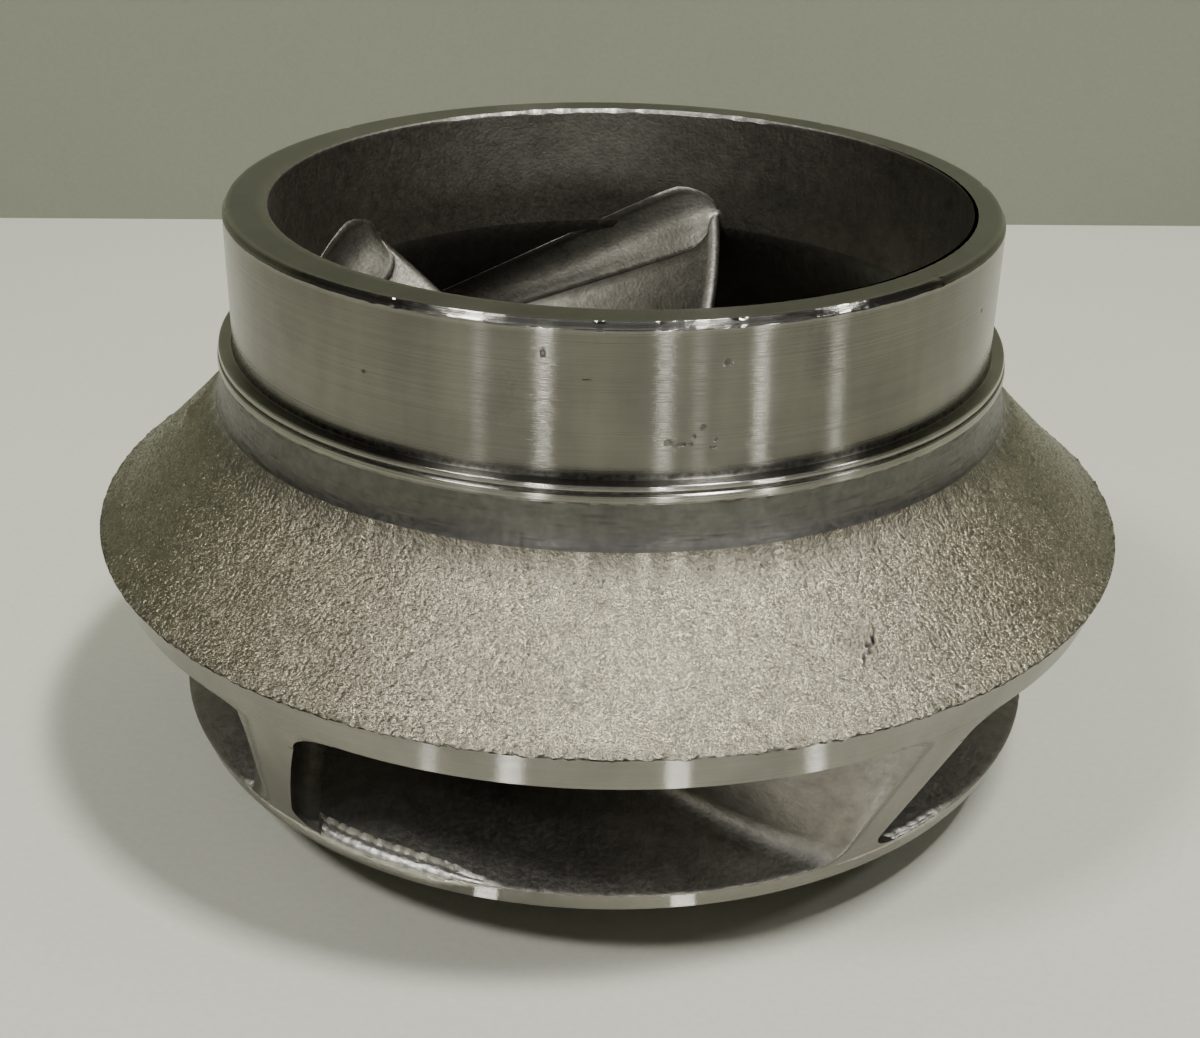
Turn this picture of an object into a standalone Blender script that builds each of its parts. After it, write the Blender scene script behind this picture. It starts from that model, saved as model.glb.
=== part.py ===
"""Closed mixed-flow pump impeller, modelled feature by feature.

The frame has +Z up along the shaft axis, with the origin at the middle of the hub's foot.
The camera side of the impeller faces -Y. All lengths are in metres.
"""

import math

import bmesh
import bpy
from mathutils import Vector

# Heights that place the casting over the foot
FOOT_STAND = 0.0120
BACK_RIM_DROP = 0.0407
RIM_Z = FOOT_STAND + BACK_RIM_DROP

# Front shroud: cast cone, collar and the machined exit band
RIM_RADIUS = 0.1000
CONE_FOOT_RADIUS = 0.0955
CONE_FOOT_RISE = 0.0035
CONE_MIDDLE_RADIUS = 0.0853
CONE_MIDDLE_RISE = 0.0133
CONE_TOP_RADIUS = 0.0800
CONE_TOP_RISE = 0.0192
COLLAR_RADIUS = 0.07524
COLLAR_LOW_RISE = 0.0295
COLLAR_TOP_RISE = 0.0342
COLLAR_EDGE = 0.0006
FRONT_BAND_DROP = 0.0074

# Exit cone, shared by both shrouds and the vane ends: radius lost for each metre of drop
EXIT_TAPER = 0.3685

# Eye ring, turned outside and cast inside, with the core set a little off the axis
RING_RADIUS = 0.07244
RING_TOP_RISE = 0.06027
RING_CHAMFER_WIDTH = 0.0008
RING_CHAMFER_HEIGHT = 0.0013
EYE_RADIUS = 0.06555
EYE_EDGE = 0.0003
CORE_SHIFT = Vector((0.00144, -0.00050, 0.0))

# Back shroud and hub
BACK_TOP_DROP = 0.0365
BACK_LAND_RADIUS = 0.0770
BACK_LAND_STEP = 0.0020
BACK_WALL_AT_HUB = 0.0115
HUB_SPLIT_RADIUS = 0.0300
HUB_BOSS_RADIUS = 0.0270
HUB_BOSS_TOP = 0.0150
HUB_NOSE_RADIUS = 0.0205
HUB_NOSE_RISE = 0.0150
HUB_NOSE_ROUND = 0.0025
BORE_RADIUS = 0.0160
BORE_EDGE = 0.0010
KEY_WIDTH = 0.0100
KEY_DEPTH = 0.0033

# Vanes: five backward-swept blades that wrap about a quarter turn
VANE_COUNT = 5
VANE_END_TURN = 33.7
VANE_END_LEAN = 7.0
VANE_WRAP_AT_SHROUD = 92.0
VANE_WRAP_AT_HUB = 101.0
VANE_THICKNESS_AT_NOSE = 0.0034
VANE_THICKNESS_AT_END = 0.0048
VANE_NOSE_TIP = 0.25
VANE_NOSE_SHARE = 0.035
NOSE_HUB = (0.0250, 0.0060)
NOSE_SHROUD = (EYE_RADIUS, 0.0375)

# Root fillets of each side of a vane, as radii at its nose and at its end
BACK_FILLETS = {"hub": (0.0040, 0.0040), "shroud": (0.0040, 0.0040)}
FRONT_FILLETS = {"hub": (0.0035, 0.0035), "shroud": (0.0080, 0.0040)}

# Fit between the features, and how finely they are faceted
GAP = 0.0003
VANE_SEAT = 0.0007
TURN_STEPS = 80
HUB_STEPS = 40
CURVE_STEPS = 10
VANE_STEPS = 22
NOSE_STEPS = 3
ROOT_HEIGHTS = (0.0, 0.0008, 0.0020, 0.0042, 0.0075)
TINY = 0.000001

CAST_COLOUR = (0.33, 0.32, 0.29, 1.0)
TURNED_COLOUR = (0.52, 0.52, 0.49, 1.0)


def clear_scene():
    for obj in list(bpy.data.objects):
        bpy.data.objects.remove(obj, do_unlink=True)


def new_collection(name):
    collection = bpy.data.collections.new(name)
    bpy.context.scene.collection.children.link(collection)
    return collection


def metal(name, colour, roughness):
    material = bpy.data.materials.new(name)
    material.use_nodes = True
    shader = material.node_tree.nodes["Principled BSDF"]
    shader.inputs["Base Color"].default_value = colour
    shader.inputs["Metallic"].default_value = 1.0
    shader.inputs["Roughness"].default_value = roughness
    return material


def cubic(points, t):
    """Point at t on the cubic Bezier curve through four (radius, rise) control points."""
    weights = ((1 - t) ** 3, 3 * t * (1 - t) ** 2, 3 * t * t * (1 - t), t ** 3)
    radius = sum(weight * point[0] for weight, point in zip(weights, points))
    rise = sum(weight * point[1] for weight, point in zip(weights, points))
    return radius, rise


def mix(first, last, share):
    return first * (1 - share) + last * share


def arc(centre, radius, start, end, steps):
    """Points on an arc in the (radius, rise) plane, angles in degrees from outward."""
    points = []
    for step in range(steps + 1):
        angle = math.radians(start + (end - start) * step / steps)
        points.append((centre[0] + radius * math.cos(angle), centre[1] + radius * math.sin(angle)))
    return points


def exit_radius(rise):
    return RIM_RADIUS + EXIT_TAPER * rise


def shroud_line(t):
    """Inside of the front shroud, from the vanes' noses down to the exit."""
    end = (exit_radius(-FRONT_BAND_DROP), -FRONT_BAND_DROP)
    return cubic((NOSE_SHROUD, (EYE_RADIUS, 0.0220), (0.0800, 0.0100), end), t)


def hub_line(t):
    """Top of the hub and the back shroud, from the vanes' noses out to the exit."""
    end = (exit_radius(-BACK_TOP_DROP), -BACK_TOP_DROP)
    return cubic((NOSE_HUB, (0.0300, -0.0130), (0.0560, -0.0270), end), t)


def hub_line_at(radius):
    """Where the hub line reaches a radius, by halving the interval."""
    low, high = 0.0, 1.0
    for _ in range(40):
        middle = (low + high) / 2
        if hub_line(middle)[0] < radius:
            low = middle
        else:
            high = middle
    return low


def turned(name, outline, collection, material, steps):
    """Solid of revolution from a closed (radius, rise) outline that runs down its outer side."""
    mesh = bpy.data.meshes.new(name)
    points = [(radius, 0.0, RIM_Z + rise) for radius, rise in outline]
    edges = [(index, (index + 1) % len(points)) for index in range(len(points))]
    mesh.from_pydata(points, edges, [])
    obj = bpy.data.objects.new(name, mesh)
    collection.objects.link(obj)
    screw = obj.modifiers.new("turn", "SCREW")
    screw.axis = "Z"
    screw.angle = math.tau
    screw.steps = steps
    screw.render_steps = steps
    screw.use_merge_vertices = True
    screw.merge_threshold = 0.00001
    screw.use_smooth_shade = True
    obj.data.materials.append(material)
    return obj


def bake(obj):
    """Replace an object's modifiers by the mesh that they make."""
    graph = bpy.context.evaluated_depsgraph_get()
    mesh = bpy.data.meshes.new_from_object(obj.evaluated_get(graph))
    obj.modifiers.clear()
    obj.data = mesh
    mesh.shade_smooth()
    mesh.set_sharp_from_angle(angle=math.radians(32))
    return obj


def shift_core(obj, is_inner, fade_from, fade_to):
    """Move the cored inner wall off the axis, fading out between two heights."""
    for vertex in obj.data.vertices:
        radius = math.hypot(vertex.co.x, vertex.co.y)
        rise = vertex.co.z - RIM_Z
        if is_inner(radius, rise):
            share = min(1.0, max(0.0, (rise - fade_to) / (fade_from - fade_to)))
            vertex.co += CORE_SHIFT * share


def make_eye_ring(collection, material):
    low = COLLAR_TOP_RISE + GAP
    outline = [
        (EYE_RADIUS + EYE_EDGE, RING_TOP_RISE),
        (RING_RADIUS - RING_CHAMFER_WIDTH, RING_TOP_RISE),
        (RING_RADIUS, RING_TOP_RISE - RING_CHAMFER_HEIGHT),
        (RING_RADIUS, low),
        (EYE_RADIUS, low),
        (EYE_RADIUS, RING_TOP_RISE - EYE_EDGE),
    ]
    ring = bake(turned("eye_ring", outline, collection, material, TURN_STEPS))
    wall_middle = (EYE_RADIUS + RING_RADIUS) / 2
    shift_core(ring, lambda radius, rise: radius < wall_middle, low, 0.0)


def make_front_shroud(collection, material):
    cone = ((COLLAR_RADIUS, COLLAR_LOW_RISE), (COLLAR_RADIUS + 0.0006, 0.0238),
            (0.0772, 0.0222), (CONE_TOP_RADIUS, CONE_TOP_RISE))
    outline = [(COLLAR_RADIUS - COLLAR_EDGE, COLLAR_TOP_RISE),
               (COLLAR_RADIUS, COLLAR_TOP_RISE - COLLAR_EDGE)]
    outline += [cubic(cone, step / 5) for step in range(6)]
    outline += [(CONE_MIDDLE_RADIUS, CONE_MIDDLE_RISE), (CONE_FOOT_RADIUS, CONE_FOOT_RISE),
                (RIM_RADIUS, 0.0)]
    inner = [shroud_line(1 - step / CURVE_STEPS) for step in range(CURVE_STEPS + 1)]
    inner[-1] = (EYE_RADIUS, COLLAR_TOP_RISE)
    outline += inner
    shroud = bake(turned("front_shroud", outline, collection, material, TURN_STEPS))

    def is_inner(radius, rise):
        return any(math.dist((radius, rise), place) < TINY for place in inner)

    shift_core(shroud, is_inner, COLLAR_TOP_RISE, 0.0)


def make_back_shroud(collection, material):
    split = hub_line_at(HUB_SPLIT_RADIUS)
    top = [hub_line(split + (1 - split) * step / CURVE_STEPS) for step in range(CURVE_STEPS + 1)]
    inner_top = top[0]
    land = (BACK_LAND_RADIUS, -BACK_RIM_DROP)
    step_up = (BACK_LAND_RADIUS - BACK_LAND_STEP, -BACK_RIM_DROP + BACK_LAND_STEP)
    inner_low = (HUB_SPLIT_RADIUS, inner_top[1] - BACK_WALL_AT_HUB)
    under = (step_up, (0.0560, -0.0335), (0.0400, -0.0250), inner_low)
    outline = top + [(exit_radius(-BACK_RIM_DROP), -BACK_RIM_DROP), land]
    outline += [cubic(under, step / 7) for step in range(8)]
    bake(turned("back_shroud", outline, collection, material, TURN_STEPS))


def make_hub(collection, cutters, material):
    split = hub_line_at(HUB_SPLIT_RADIUS - GAP)
    side = HUB_SPLIT_RADIUS - GAP
    top = [hub_line(split * step / 4) for step in range(5)]
    round_centre = (HUB_NOSE_RADIUS - HUB_NOSE_ROUND, HUB_NOSE_RISE - HUB_NOSE_ROUND)
    outline = arc(round_centre, HUB_NOSE_ROUND, 90, 20, 3) + top
    outline += [
        (side, -RIM_Z + HUB_BOSS_TOP),
        (HUB_BOSS_RADIUS, -RIM_Z + HUB_BOSS_TOP - (side - HUB_BOSS_RADIUS)),
        (HUB_BOSS_RADIUS, -RIM_Z + BORE_EDGE),
        (HUB_BOSS_RADIUS - BORE_EDGE, -RIM_Z),
        (BORE_RADIUS + BORE_EDGE, -RIM_Z),
        (BORE_RADIUS, -RIM_Z + BORE_EDGE),
        (BORE_RADIUS, HUB_NOSE_RISE - BORE_EDGE / 2),
        (BORE_RADIUS + BORE_EDGE / 2, HUB_NOSE_RISE),
    ]
    hub = turned("hub", outline, collection, material, HUB_STEPS)
    bake(hub)

    length = RIM_Z + HUB_NOSE_RISE + 0.02
    bpy.ops.mesh.primitive_cube_add(size=1.0)
    key = bpy.context.object
    key.name = "keyway_cutter"
    for vertex in key.data.vertices:
        vertex.co.x = vertex.co.x * KEY_WIDTH
        vertex.co.y = BORE_RADIUS + KEY_DEPTH if vertex.co.y > 0 else BORE_RADIUS / 2
        vertex.co.z = vertex.co.z * length + (RIM_Z + HUB_NOSE_RISE) / 2
    for owner in list(key.users_collection):
        owner.objects.unlink(key)
    cutters.objects.link(key)
    key.hide_render = True
    key.display_type = "WIRE"
    cut = hub.modifiers.new("keyway", "BOOLEAN")
    cut.operation = "DIFFERENCE"
    cut.solver = "EXACT"
    cut.object = key


def wrap_turns(line, wrap):
    """Degrees turned by each station of a blade that keeps one angle to the rim all along."""
    turns = [0.0]
    previous = line[0]
    for point in line[1:]:
        step = math.dist(previous, point) / ((previous[0] + point[0]) / 2)
        turns.append(turns[-1] + step)
        previous = point
    return [wrap * turn / turns[-1] for turn in turns]


def flare(fillet, height):
    """How far a root fillet stands out from the vane's side, this high above the wall."""
    if height >= fillet:
        return 0.0
    return fillet - math.sqrt(fillet ** 2 - (fillet - height) ** 2)


def station_share(step):
    """Share of the way from nose to exit, with close stations at the rounded nose."""
    if step < NOSE_STEPS:
        return VANE_NOSE_SHARE * step / NOSE_STEPS
    rest = (step - NOSE_STEPS) / (VANE_STEPS - NOSE_STEPS)
    return VANE_NOSE_SHARE + (1 - VANE_NOSE_SHARE) * rest


def vane_line(row_height):
    """Line of (radius, rise) along a vane; a negative height counts down from the shroud."""
    line = []
    for step in range(VANE_STEPS + 1):
        t = station_share(step)
        low = Vector(hub_line(t))
        high = Vector(shroud_line(t))
        up = (high - low).normalized()
        if row_height >= 0:
            line.append(tuple(low + up * (row_height + VANE_SEAT)))
        else:
            line.append(tuple(high + up * (row_height - VANE_SEAT)))
    return line


def vane_rows():
    """Each row of a vane as its line, its share of the height, its nearer wall and the height there."""
    rows = [(vane_line(height), "hub", height) for height in ROOT_HEIGHTS]
    for height in reversed(ROOT_HEIGHTS):
        rows.append((vane_line(-height or -TINY), "shroud", height))
    low = Vector(rows[0][0][-1])
    span = (Vector(rows[-1][0][-1]) - low).length
    return [(line, (Vector(line[-1]) - low).length / span, wall, height)
            for line, wall, height in rows]


def vane_sides():
    """Stations of (radius, rise, degrees, core share) for the two sides of a vane."""
    sides = ([], [])
    for line, share, wall, height in vane_rows():
        wrap = VANE_WRAP_AT_HUB + (VANE_WRAP_AT_SHROUD - VANE_WRAP_AT_HUB) * share
        start = VANE_END_TURN + (share - 0.5) * VANE_END_LEAN - wrap
        turns = wrap_turns(line, wrap)
        for side, sign, fillets in zip(sides, (-1, 1), (BACK_FILLETS, FRONT_FILLETS)):
            stations = []
            for step, ((radius, rise), turn) in enumerate(zip(line, turns)):
                ahead = max(1, step)
                run = math.dist(line[ahead], line[ahead - 1])
                sweep = radius * math.radians(turns[ahead] - turns[ahead - 1])
                slope = run / math.hypot(run, sweep)
                along = station_share(step)
                body = mix(VANE_THICKNESS_AT_NOSE, VANE_THICKNESS_AT_END, along)
                root = flare(mix(*fillets[wall], along), height + VANE_SEAT)
                nose = max(VANE_NOSE_TIP, min(1.0, step / NOSE_STEPS) ** 0.5)
                half = (body / 2 + root) * nose
                offset = sign * math.degrees(half / slope / radius)
                stations.append((radius, rise, start + turn + offset, share))
            side.append(stations)
    return sides


def place(radius, rise, degrees):
    """Point at an azimuth counted from -Y towards +X."""
    angle = math.radians(degrees)
    return Vector((radius * math.sin(angle), -radius * math.cos(angle), RIM_Z + rise))


def make_vane(index, sides, collection, material):
    turn = 360.0 / VANE_COUNT * index
    sheet = bmesh.new()
    back, front = ([[sheet.verts.new(place(radius, rise, degrees + turn)
                                     + CORE_SHIFT * core_share(rise, share))
                     for radius, rise, degrees, share in stations]
                    for stations in side] for side in sides)
    top = len(back) - 1
    for row in range(top):
        for step in range(VANE_STEPS):
            sheet.faces.new((back[row][step], back[row][step + 1],
                             back[row + 1][step + 1], back[row + 1][step]))
            sheet.faces.new((front[row][step], front[row + 1][step],
                             front[row + 1][step + 1], front[row][step + 1]))
        for step in (0, VANE_STEPS):
            sheet.faces.new((back[row][step], back[row + 1][step],
                             front[row + 1][step], front[row][step]))
    for step in range(VANE_STEPS):
        for row in (0, top):
            sheet.faces.new((back[row][step], front[row][step],
                             front[row][step + 1], back[row][step + 1]))
    bmesh.ops.recalc_face_normals(sheet, faces=sheet.faces)
    if sheet.calc_volume(signed=True) < 0:
        bmesh.ops.reverse_faces(sheet, faces=sheet.faces)
    mesh = bpy.data.meshes.new(f"vane_{index + 1}")
    sheet.to_mesh(mesh)
    sheet.free()
    mesh.shade_smooth()
    mesh.set_sharp_from_angle(angle=math.radians(40))
    vane = bpy.data.objects.new(mesh.name, mesh)
    vane.data.materials.append(material)
    collection.objects.link(vane)


def core_share(rise, height):
    """Share of the core's shift that a point of a vane takes, all of it up in the eye."""
    return height * min(1.0, max(0.0, rise / COLLAR_TOP_RISE))


def main():
    clear_scene()
    impeller = new_collection("pump_impeller")
    cutters = new_collection("cutters")
    make_eye_ring(impeller, metal("turned_ring", TURNED_COLOUR, 0.30))
    make_front_shroud(impeller, metal("cast_front_shroud", CAST_COLOUR, 0.50))
    make_back_shroud(impeller, metal("cast_back_shroud", CAST_COLOUR, 0.50))
    make_hub(impeller, cutters, metal("turned_hub", TURNED_COLOUR, 0.38))
    sides = vane_sides()
    for index in range(VANE_COUNT):
        make_vane(index, sides, impeller, metal(f"cast_vane_{index + 1}", CAST_COLOUR, 0.48))


main()
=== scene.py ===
"""Closed mixed-flow pump impeller: a sand casting with a turned eye ring, on a pale studio floor.

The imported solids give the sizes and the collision; each of them is replaced here by a finished
piece. The frame has +Z up along the shaft axis, and the side that the camera sees faces -Y.
Radii and rises are in millimetres where they stand in tables; a rise is over the rim plane, the
level of the front shroud's widest circle.
"""

import math

import bmesh
import bpy
import numpy as np
from mathutils import Matrix, Vector


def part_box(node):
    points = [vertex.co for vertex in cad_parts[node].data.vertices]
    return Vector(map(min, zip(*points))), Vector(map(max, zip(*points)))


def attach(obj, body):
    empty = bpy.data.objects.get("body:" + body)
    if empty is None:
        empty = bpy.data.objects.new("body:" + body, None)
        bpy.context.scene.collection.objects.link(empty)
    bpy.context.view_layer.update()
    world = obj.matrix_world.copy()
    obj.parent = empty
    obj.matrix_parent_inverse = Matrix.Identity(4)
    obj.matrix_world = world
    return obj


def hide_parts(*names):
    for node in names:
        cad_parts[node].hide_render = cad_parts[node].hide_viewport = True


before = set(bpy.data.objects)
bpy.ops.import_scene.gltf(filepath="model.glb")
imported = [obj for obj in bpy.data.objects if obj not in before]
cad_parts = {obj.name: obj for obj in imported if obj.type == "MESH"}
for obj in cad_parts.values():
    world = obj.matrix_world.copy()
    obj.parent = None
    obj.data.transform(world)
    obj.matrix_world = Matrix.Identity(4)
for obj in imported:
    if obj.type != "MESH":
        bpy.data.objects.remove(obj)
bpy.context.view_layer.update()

bl_info = {
    "name": "Pump impeller",
    "version": (1, 0, 0),
    "blender": (4, 5, 0),
    "location": "3D View > Sidebar > Impeller",
    "description": "Closed mixed-flow pump impeller, sand-cast and turned, on its studio stage",
    "category": "Object",
}

MM = 0.001
# Rises over the rim plane
COLLAR_TOP = 34.2
JOINT_RISE = 35.0
BAND_FOOT = -7.4
PASSAGE_FLOOR = -36.5
BACK_CHAMFER = -39.4
BACK_FOOT = -40.7
# Radii
RIM_SIDE = 100.0
RING_SIDE = 72.44
EYE_WALL = 65.55
HUB_SPLIT = 30.0
BACK_BAND = 77.0
# Height of the rim plane over the floor in metres, and how far the eye's core sat off the axis
RIM_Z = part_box("front_shroud")[1][2] - COLLAR_TOP * MM
SHIFT = (1.44 * MM, -0.50 * MM, 0.0)
# Columns round the turned pieces, and the spacing of the cone's rows
SEGMENTS, BAND_SEGMENTS, CONE_SEGMENTS, HUB_SEGMENTS = 1200, 840, 1900, 360
CONE_STEP = 0.29


# Sizes and colours that a user would change

def length_setting(name, description, default):
    return bpy.props.FloatProperty(name=name, description=description, default=default * MM,
                                   unit="LENGTH")


def colour_setting(name, description, default):
    return bpy.props.FloatVectorProperty(name=name, description=description, default=default,
                                         subtype="COLOR", size=3)


class ImpellerSizes(bpy.types.PropertyGroup):
    rim_radius: length_setting("Rim radius", "Radius of the front shroud at its rim", RIM_SIDE)
    exit_taper: bpy.props.FloatProperty(
        name="Exit taper", description="Radius that the exit cone gains for each unit of height",
        default=0.3685)
    ring_radius: length_setting("Ring radius", "Outer radius of the turned eye ring", RING_SIDE)
    ring_top: length_setting("Ring top", "Height of the eye ring's face over the rim", 60.27)
    eye_radius: length_setting("Eye radius", "Radius of the cored opening in the ring", EYE_WALL)
    vane_count: bpy.props.IntProperty(
        name="Vanes", description="Number of swept vanes", default=5, min=3, max=9)
    vane_nose: length_setting("Vane at nose", "Thickness of a vane at its nose", 3.4)
    vane_end: length_setting("Vane at exit", "Thickness of a vane at the exit", 4.8)
    grain_height: length_setting("Grain height", "Height of the sand-cast grain", 0.18)
    grain_size: length_setting("Grain size", "Width of one grain of the cast skin", 0.52)


class ImpellerLooks(bpy.types.PropertyGroup):
    cast_colour: colour_setting(
        "Cast metal", "Colour of the grainy cast skin", (0.315, 0.289, 0.216))
    neck_colour: colour_setting(
        "Neck", "Colour of the smooth neck under the collar", (0.108, 0.104, 0.093))
    turned_colour: colour_setting(
        "Turned metal", "Colour of the turned eye ring", (0.165, 0.158, 0.137))
    band_colour: colour_setting(
        "Machined bands", "Colour of the machined faces at the exit", (0.265, 0.254, 0.222))
    passage_colour: colour_setting(
        "Passage skin", "Colour of the cast skin near the exit", (0.22, 0.207, 0.182))
    # Painted shade deep in the passages, blended in towards the shaft axis
    passage_shade_colour: colour_setting(
        "Dark core skin", "Colour of the dark skin deep in the passages", (0.145, 0.136, 0.112))
    floor_colour: colour_setting(
        "Floor", "Colour of the pale floor", (0.79, 0.785, 0.66))
    wall_colour: colour_setting(
        "Backdrop", "Colour of the wall behind", (0.30, 0.315, 0.24))


def sizes():
    return bpy.context.scene.impeller_sizes


def looks():
    return bpy.context.scene.impeller_looks


# Meridional lines, in metres over the rim plane

def cubic(points, t):
    """Points at t on the Bezier curve through four (radius, rise) points, straight beyond it."""
    whole = np.asarray(t, dtype=float)[..., None]
    t = np.clip(whole, 0, 1)
    a, b, c, d = (np.array(point) * MM for point in points)
    place = (1 - t) ** 3 * a + 3 * t * (1 - t) ** 2 * b + 3 * t * t * (1 - t) * c + t ** 3 * d
    pace = 3 * ((1 - t) ** 2 * (b - a) + 2 * t * (1 - t) * (c - b) + t * t * (d - c))
    return place + pace * (whole - t)


def exit_radius(rise):
    return sizes().rim_radius + sizes().exit_taper * rise


def exit_corner(rise):
    """Radius and rise, in millimetres, of the exit cone at a rise in millimetres."""
    return exit_radius(rise * MM) / MM, rise


def shroud_line(t):
    """Inside of the front shroud, from the vanes' noses down to the exit."""
    return cubic(((EYE_WALL, 37.5), (EYE_WALL, 22.0), (80.0, 10.0), exit_corner(BAND_FOOT)), t)


def hub_line(t):
    """Top of the hub and the back shroud, from the vanes' noses out to the exit."""
    return cubic(((25.0, 6.0), (30.0, -13.0), (56.0, -27.0), exit_corner(PASSAGE_FLOOR)), t)


def floor_rise(radius, start=0.0, count=400):
    """Rise of the passage floor at a radius, both in millimetres, read from its line."""
    line = hub_line(np.linspace(start, 1.0, count)) / MM
    return np.interp(radius, line[:, 0], line[:, 1])


def round_axis(turns, radius, rise):
    """Points at azimuths, radii and rises over the rim plane."""
    return np.stack((radius * np.sin(turns), -radius * np.cos(turns), rise + RIM_Z), -1)


# Mesh helpers

def new_piece(name, points, faces, materials=()):
    mesh = bpy.data.meshes.new(name)
    mesh.from_pydata([tuple(point) for point in points], [], [tuple(face) for face in faces])
    mesh.update()
    piece = bpy.data.objects.new(name, mesh)
    bpy.context.scene.collection.objects.link(piece)
    for material in materials:
        mesh.materials.append(material)
    mesh.shade_smooth()
    return piece


def outline_rows(corners):
    """Rows (radius, rise, grain) of a closed outline.

    Each corner is (radius, rise, rounding, spacing, grain) in millimetres; spacing and grain
    hold from that corner to the next.
    """
    arcs = []
    count = len(corners)
    for index, (radius, rise, rounding, _, _) in enumerate(corners):
        here = np.array((radius, rise))
        back = np.array(corners[index - 1][:2]) - here
        onward = np.array(corners[(index + 1) % count][:2]) - here
        back_length, onward_length = np.linalg.norm(back), np.linalg.norm(onward)
        back, onward = back / back_length, onward / onward_length
        turn = math.pi - math.acos(float(np.clip(back @ onward, -1, 1)))
        reach = min(rounding * math.tan(turn / 2), 0.48 * back_length, 0.48 * onward_length)
        if reach < 1e-4:
            arcs.append([here])
            continue
        steps = max(2, math.ceil(turn / math.radians(18)))
        start, end = here + back * reach, here + onward * reach
        arc = []
        for step in range(steps + 1):
            t = step / steps
            first, last = start - back * reach * 0.55, end - onward * reach * 0.55
            arc.append((1 - t) ** 3 * start + 3 * t * (1 - t) ** 2 * first
                       + 3 * t * t * (1 - t) * last + t ** 3 * end)
        arcs.append(arc)
    rows = []
    for index, (_, _, _, spacing, grain) in enumerate(corners):
        grain_before = corners[index - 1][4]
        for point in arcs[index]:
            rows.append((*point, min(grain, grain_before)))
        start, end = arcs[index][-1], arcs[(index + 1) % count][0]
        steps = max(1, math.ceil(np.linalg.norm(end - start) / spacing))
        for step in range(1, steps):
            rows.append((*(start + (end - start) * step / steps), grain))
    return np.array(rows) * (MM, MM, 1.0)


def ragged(turns, pitch, seed, radius=80.0):
    """Unevenness of about unit size round the axis, its waves about one pitch long."""
    rng = np.random.default_rng(seed)
    middle = math.tau * radius / pitch
    waves = rng.integers(int(middle * 0.5) + 1, int(middle * 1.6) + 3, 24)
    phases = rng.uniform(0, math.tau, len(waves))
    return np.cos(waves[:, None] * turns + phases[:, None]).sum(0) / math.sqrt(len(waves) / 2)


def bell(value, middle, width):
    """One where the value is at the middle, falling off over a width."""
    return np.exp(-((value - middle) / width) ** 2)


def near(turns, azimuth, width):
    """One at an azimuth, falling off over a width; both in degrees."""
    return bell(np.mod(np.degrees(turns) - azimuth + 180.0, 360.0) - 180.0, 0.0, width)


def span_share(turns, first, last, soft):
    """One between two azimuths, fading out over a soft width; all in degrees."""
    middle, half = (first + last) / 2, (last - first) / 2
    away = np.abs(np.mod(np.degrees(turns) - middle + 180.0, 360.0) - 180.0)
    return np.clip((half + soft - away) / soft, 0, 1)


def put_attributes(mesh, values):
    for name, value in values.items():
        attribute = mesh.attributes.new(name, "FLOAT", "POINT")
        attribute.data.foreach_set("value", np.ravel(value).astype(np.float32))


def turned_piece(name, corners, segments, core=None, detail=None):
    """Solid of revolution whose outline runs down its outer side.

    detail(rows, turns, radius, rise, marks) may change the radius and rise of each row and
    azimuth, and the marks that the materials and the cast skin read.
    """
    rows = outline_rows(corners)
    turns = np.linspace(0, math.tau, segments, endpoint=False)
    shape = (len(rows), segments)
    radius = np.tile(rows[:, :1], (1, segments))
    rise = np.tile(rows[:, 1:2], (1, segments))
    marks = {"grain": np.tile(rows[:, 2:], (1, segments)), "dirt": np.zeros(shape),
             "wear": np.zeros(shape)}
    if detail is not None:
        detail(rows, turns, radius, rise, marks)
    points = round_axis(turns, radius, rise)
    if core is not None:
        shares = np.array([core(row[0], row[1]) for row in rows])
        points += shares[:, None, None] * np.array(SHIFT)
    index = np.arange(len(rows) * segments).reshape(shape)
    below = np.roll(index, -1, axis=0)
    faces = np.stack((index, below, np.roll(below, -1, axis=1), np.roll(index, -1, axis=1)), -1)
    piece = new_piece(name, points.reshape(-1, 3), faces.reshape(-1, 4).tolist())
    put_attributes(piece.data, marks)
    piece.data.set_sharp_from_angle(angle=math.radians(48))
    return piece


# Geometry node trees

def new_group(kind, name, inputs, outputs):
    """Node group with inputs (name, kind, value) and outputs (name, kind)."""
    tree = bpy.data.node_groups.new(name, kind)
    for label, socket_kind, value in inputs:
        socket = tree.interface.new_socket(label, in_out="INPUT",
                                           socket_type=f"NodeSocket{socket_kind}")
        if value is not None:
            socket.default_value = value
    for label, socket_kind in outputs:
        tree.interface.new_socket(label, in_out="OUTPUT", socket_type=f"NodeSocket{socket_kind}")
    return tree, tree.nodes.new("NodeGroupInput"), tree.nodes.new("NodeGroupOutput")


def geometry_group(name, inputs):
    """Geometry node group with a mesh in and out, and further inputs."""
    return new_group("GeometryNodeTree", name, (("Geometry", "Geometry", None), *inputs),
                     (("Geometry", "Geometry"),))


def feed(tree, socket, value):
    """Link a socket to the value where that is a socket, and otherwise set it."""
    if isinstance(value, bpy.types.NodeSocket):
        tree.links.new(value, socket)
    else:
        socket.default_value = value


def add(tree, kind, inputs=None, **settings):
    """New node with its settings and its inputs."""
    node = tree.nodes.new(kind)
    for key, value in settings.items():
        setattr(node, key, value)
    for key, value in (inputs or {}).items():
        feed(tree, node.inputs[key], value)
    return node


def maths(tree, operation, *values, clamp=False):
    node = add(tree, "ShaderNodeMath", dict(enumerate(values)), operation=operation)
    node.use_clamp = clamp
    return node.outputs[0]


def vector_maths(tree, operation, first, second):
    return add(tree, "ShaderNodeVectorMath", {0: first, 1: second}, operation=operation).outputs[0]


def vector_length(tree, vector):
    return add(tree, "ShaderNodeVectorMath", {0: vector}, operation="LENGTH").outputs["Value"]


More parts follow.
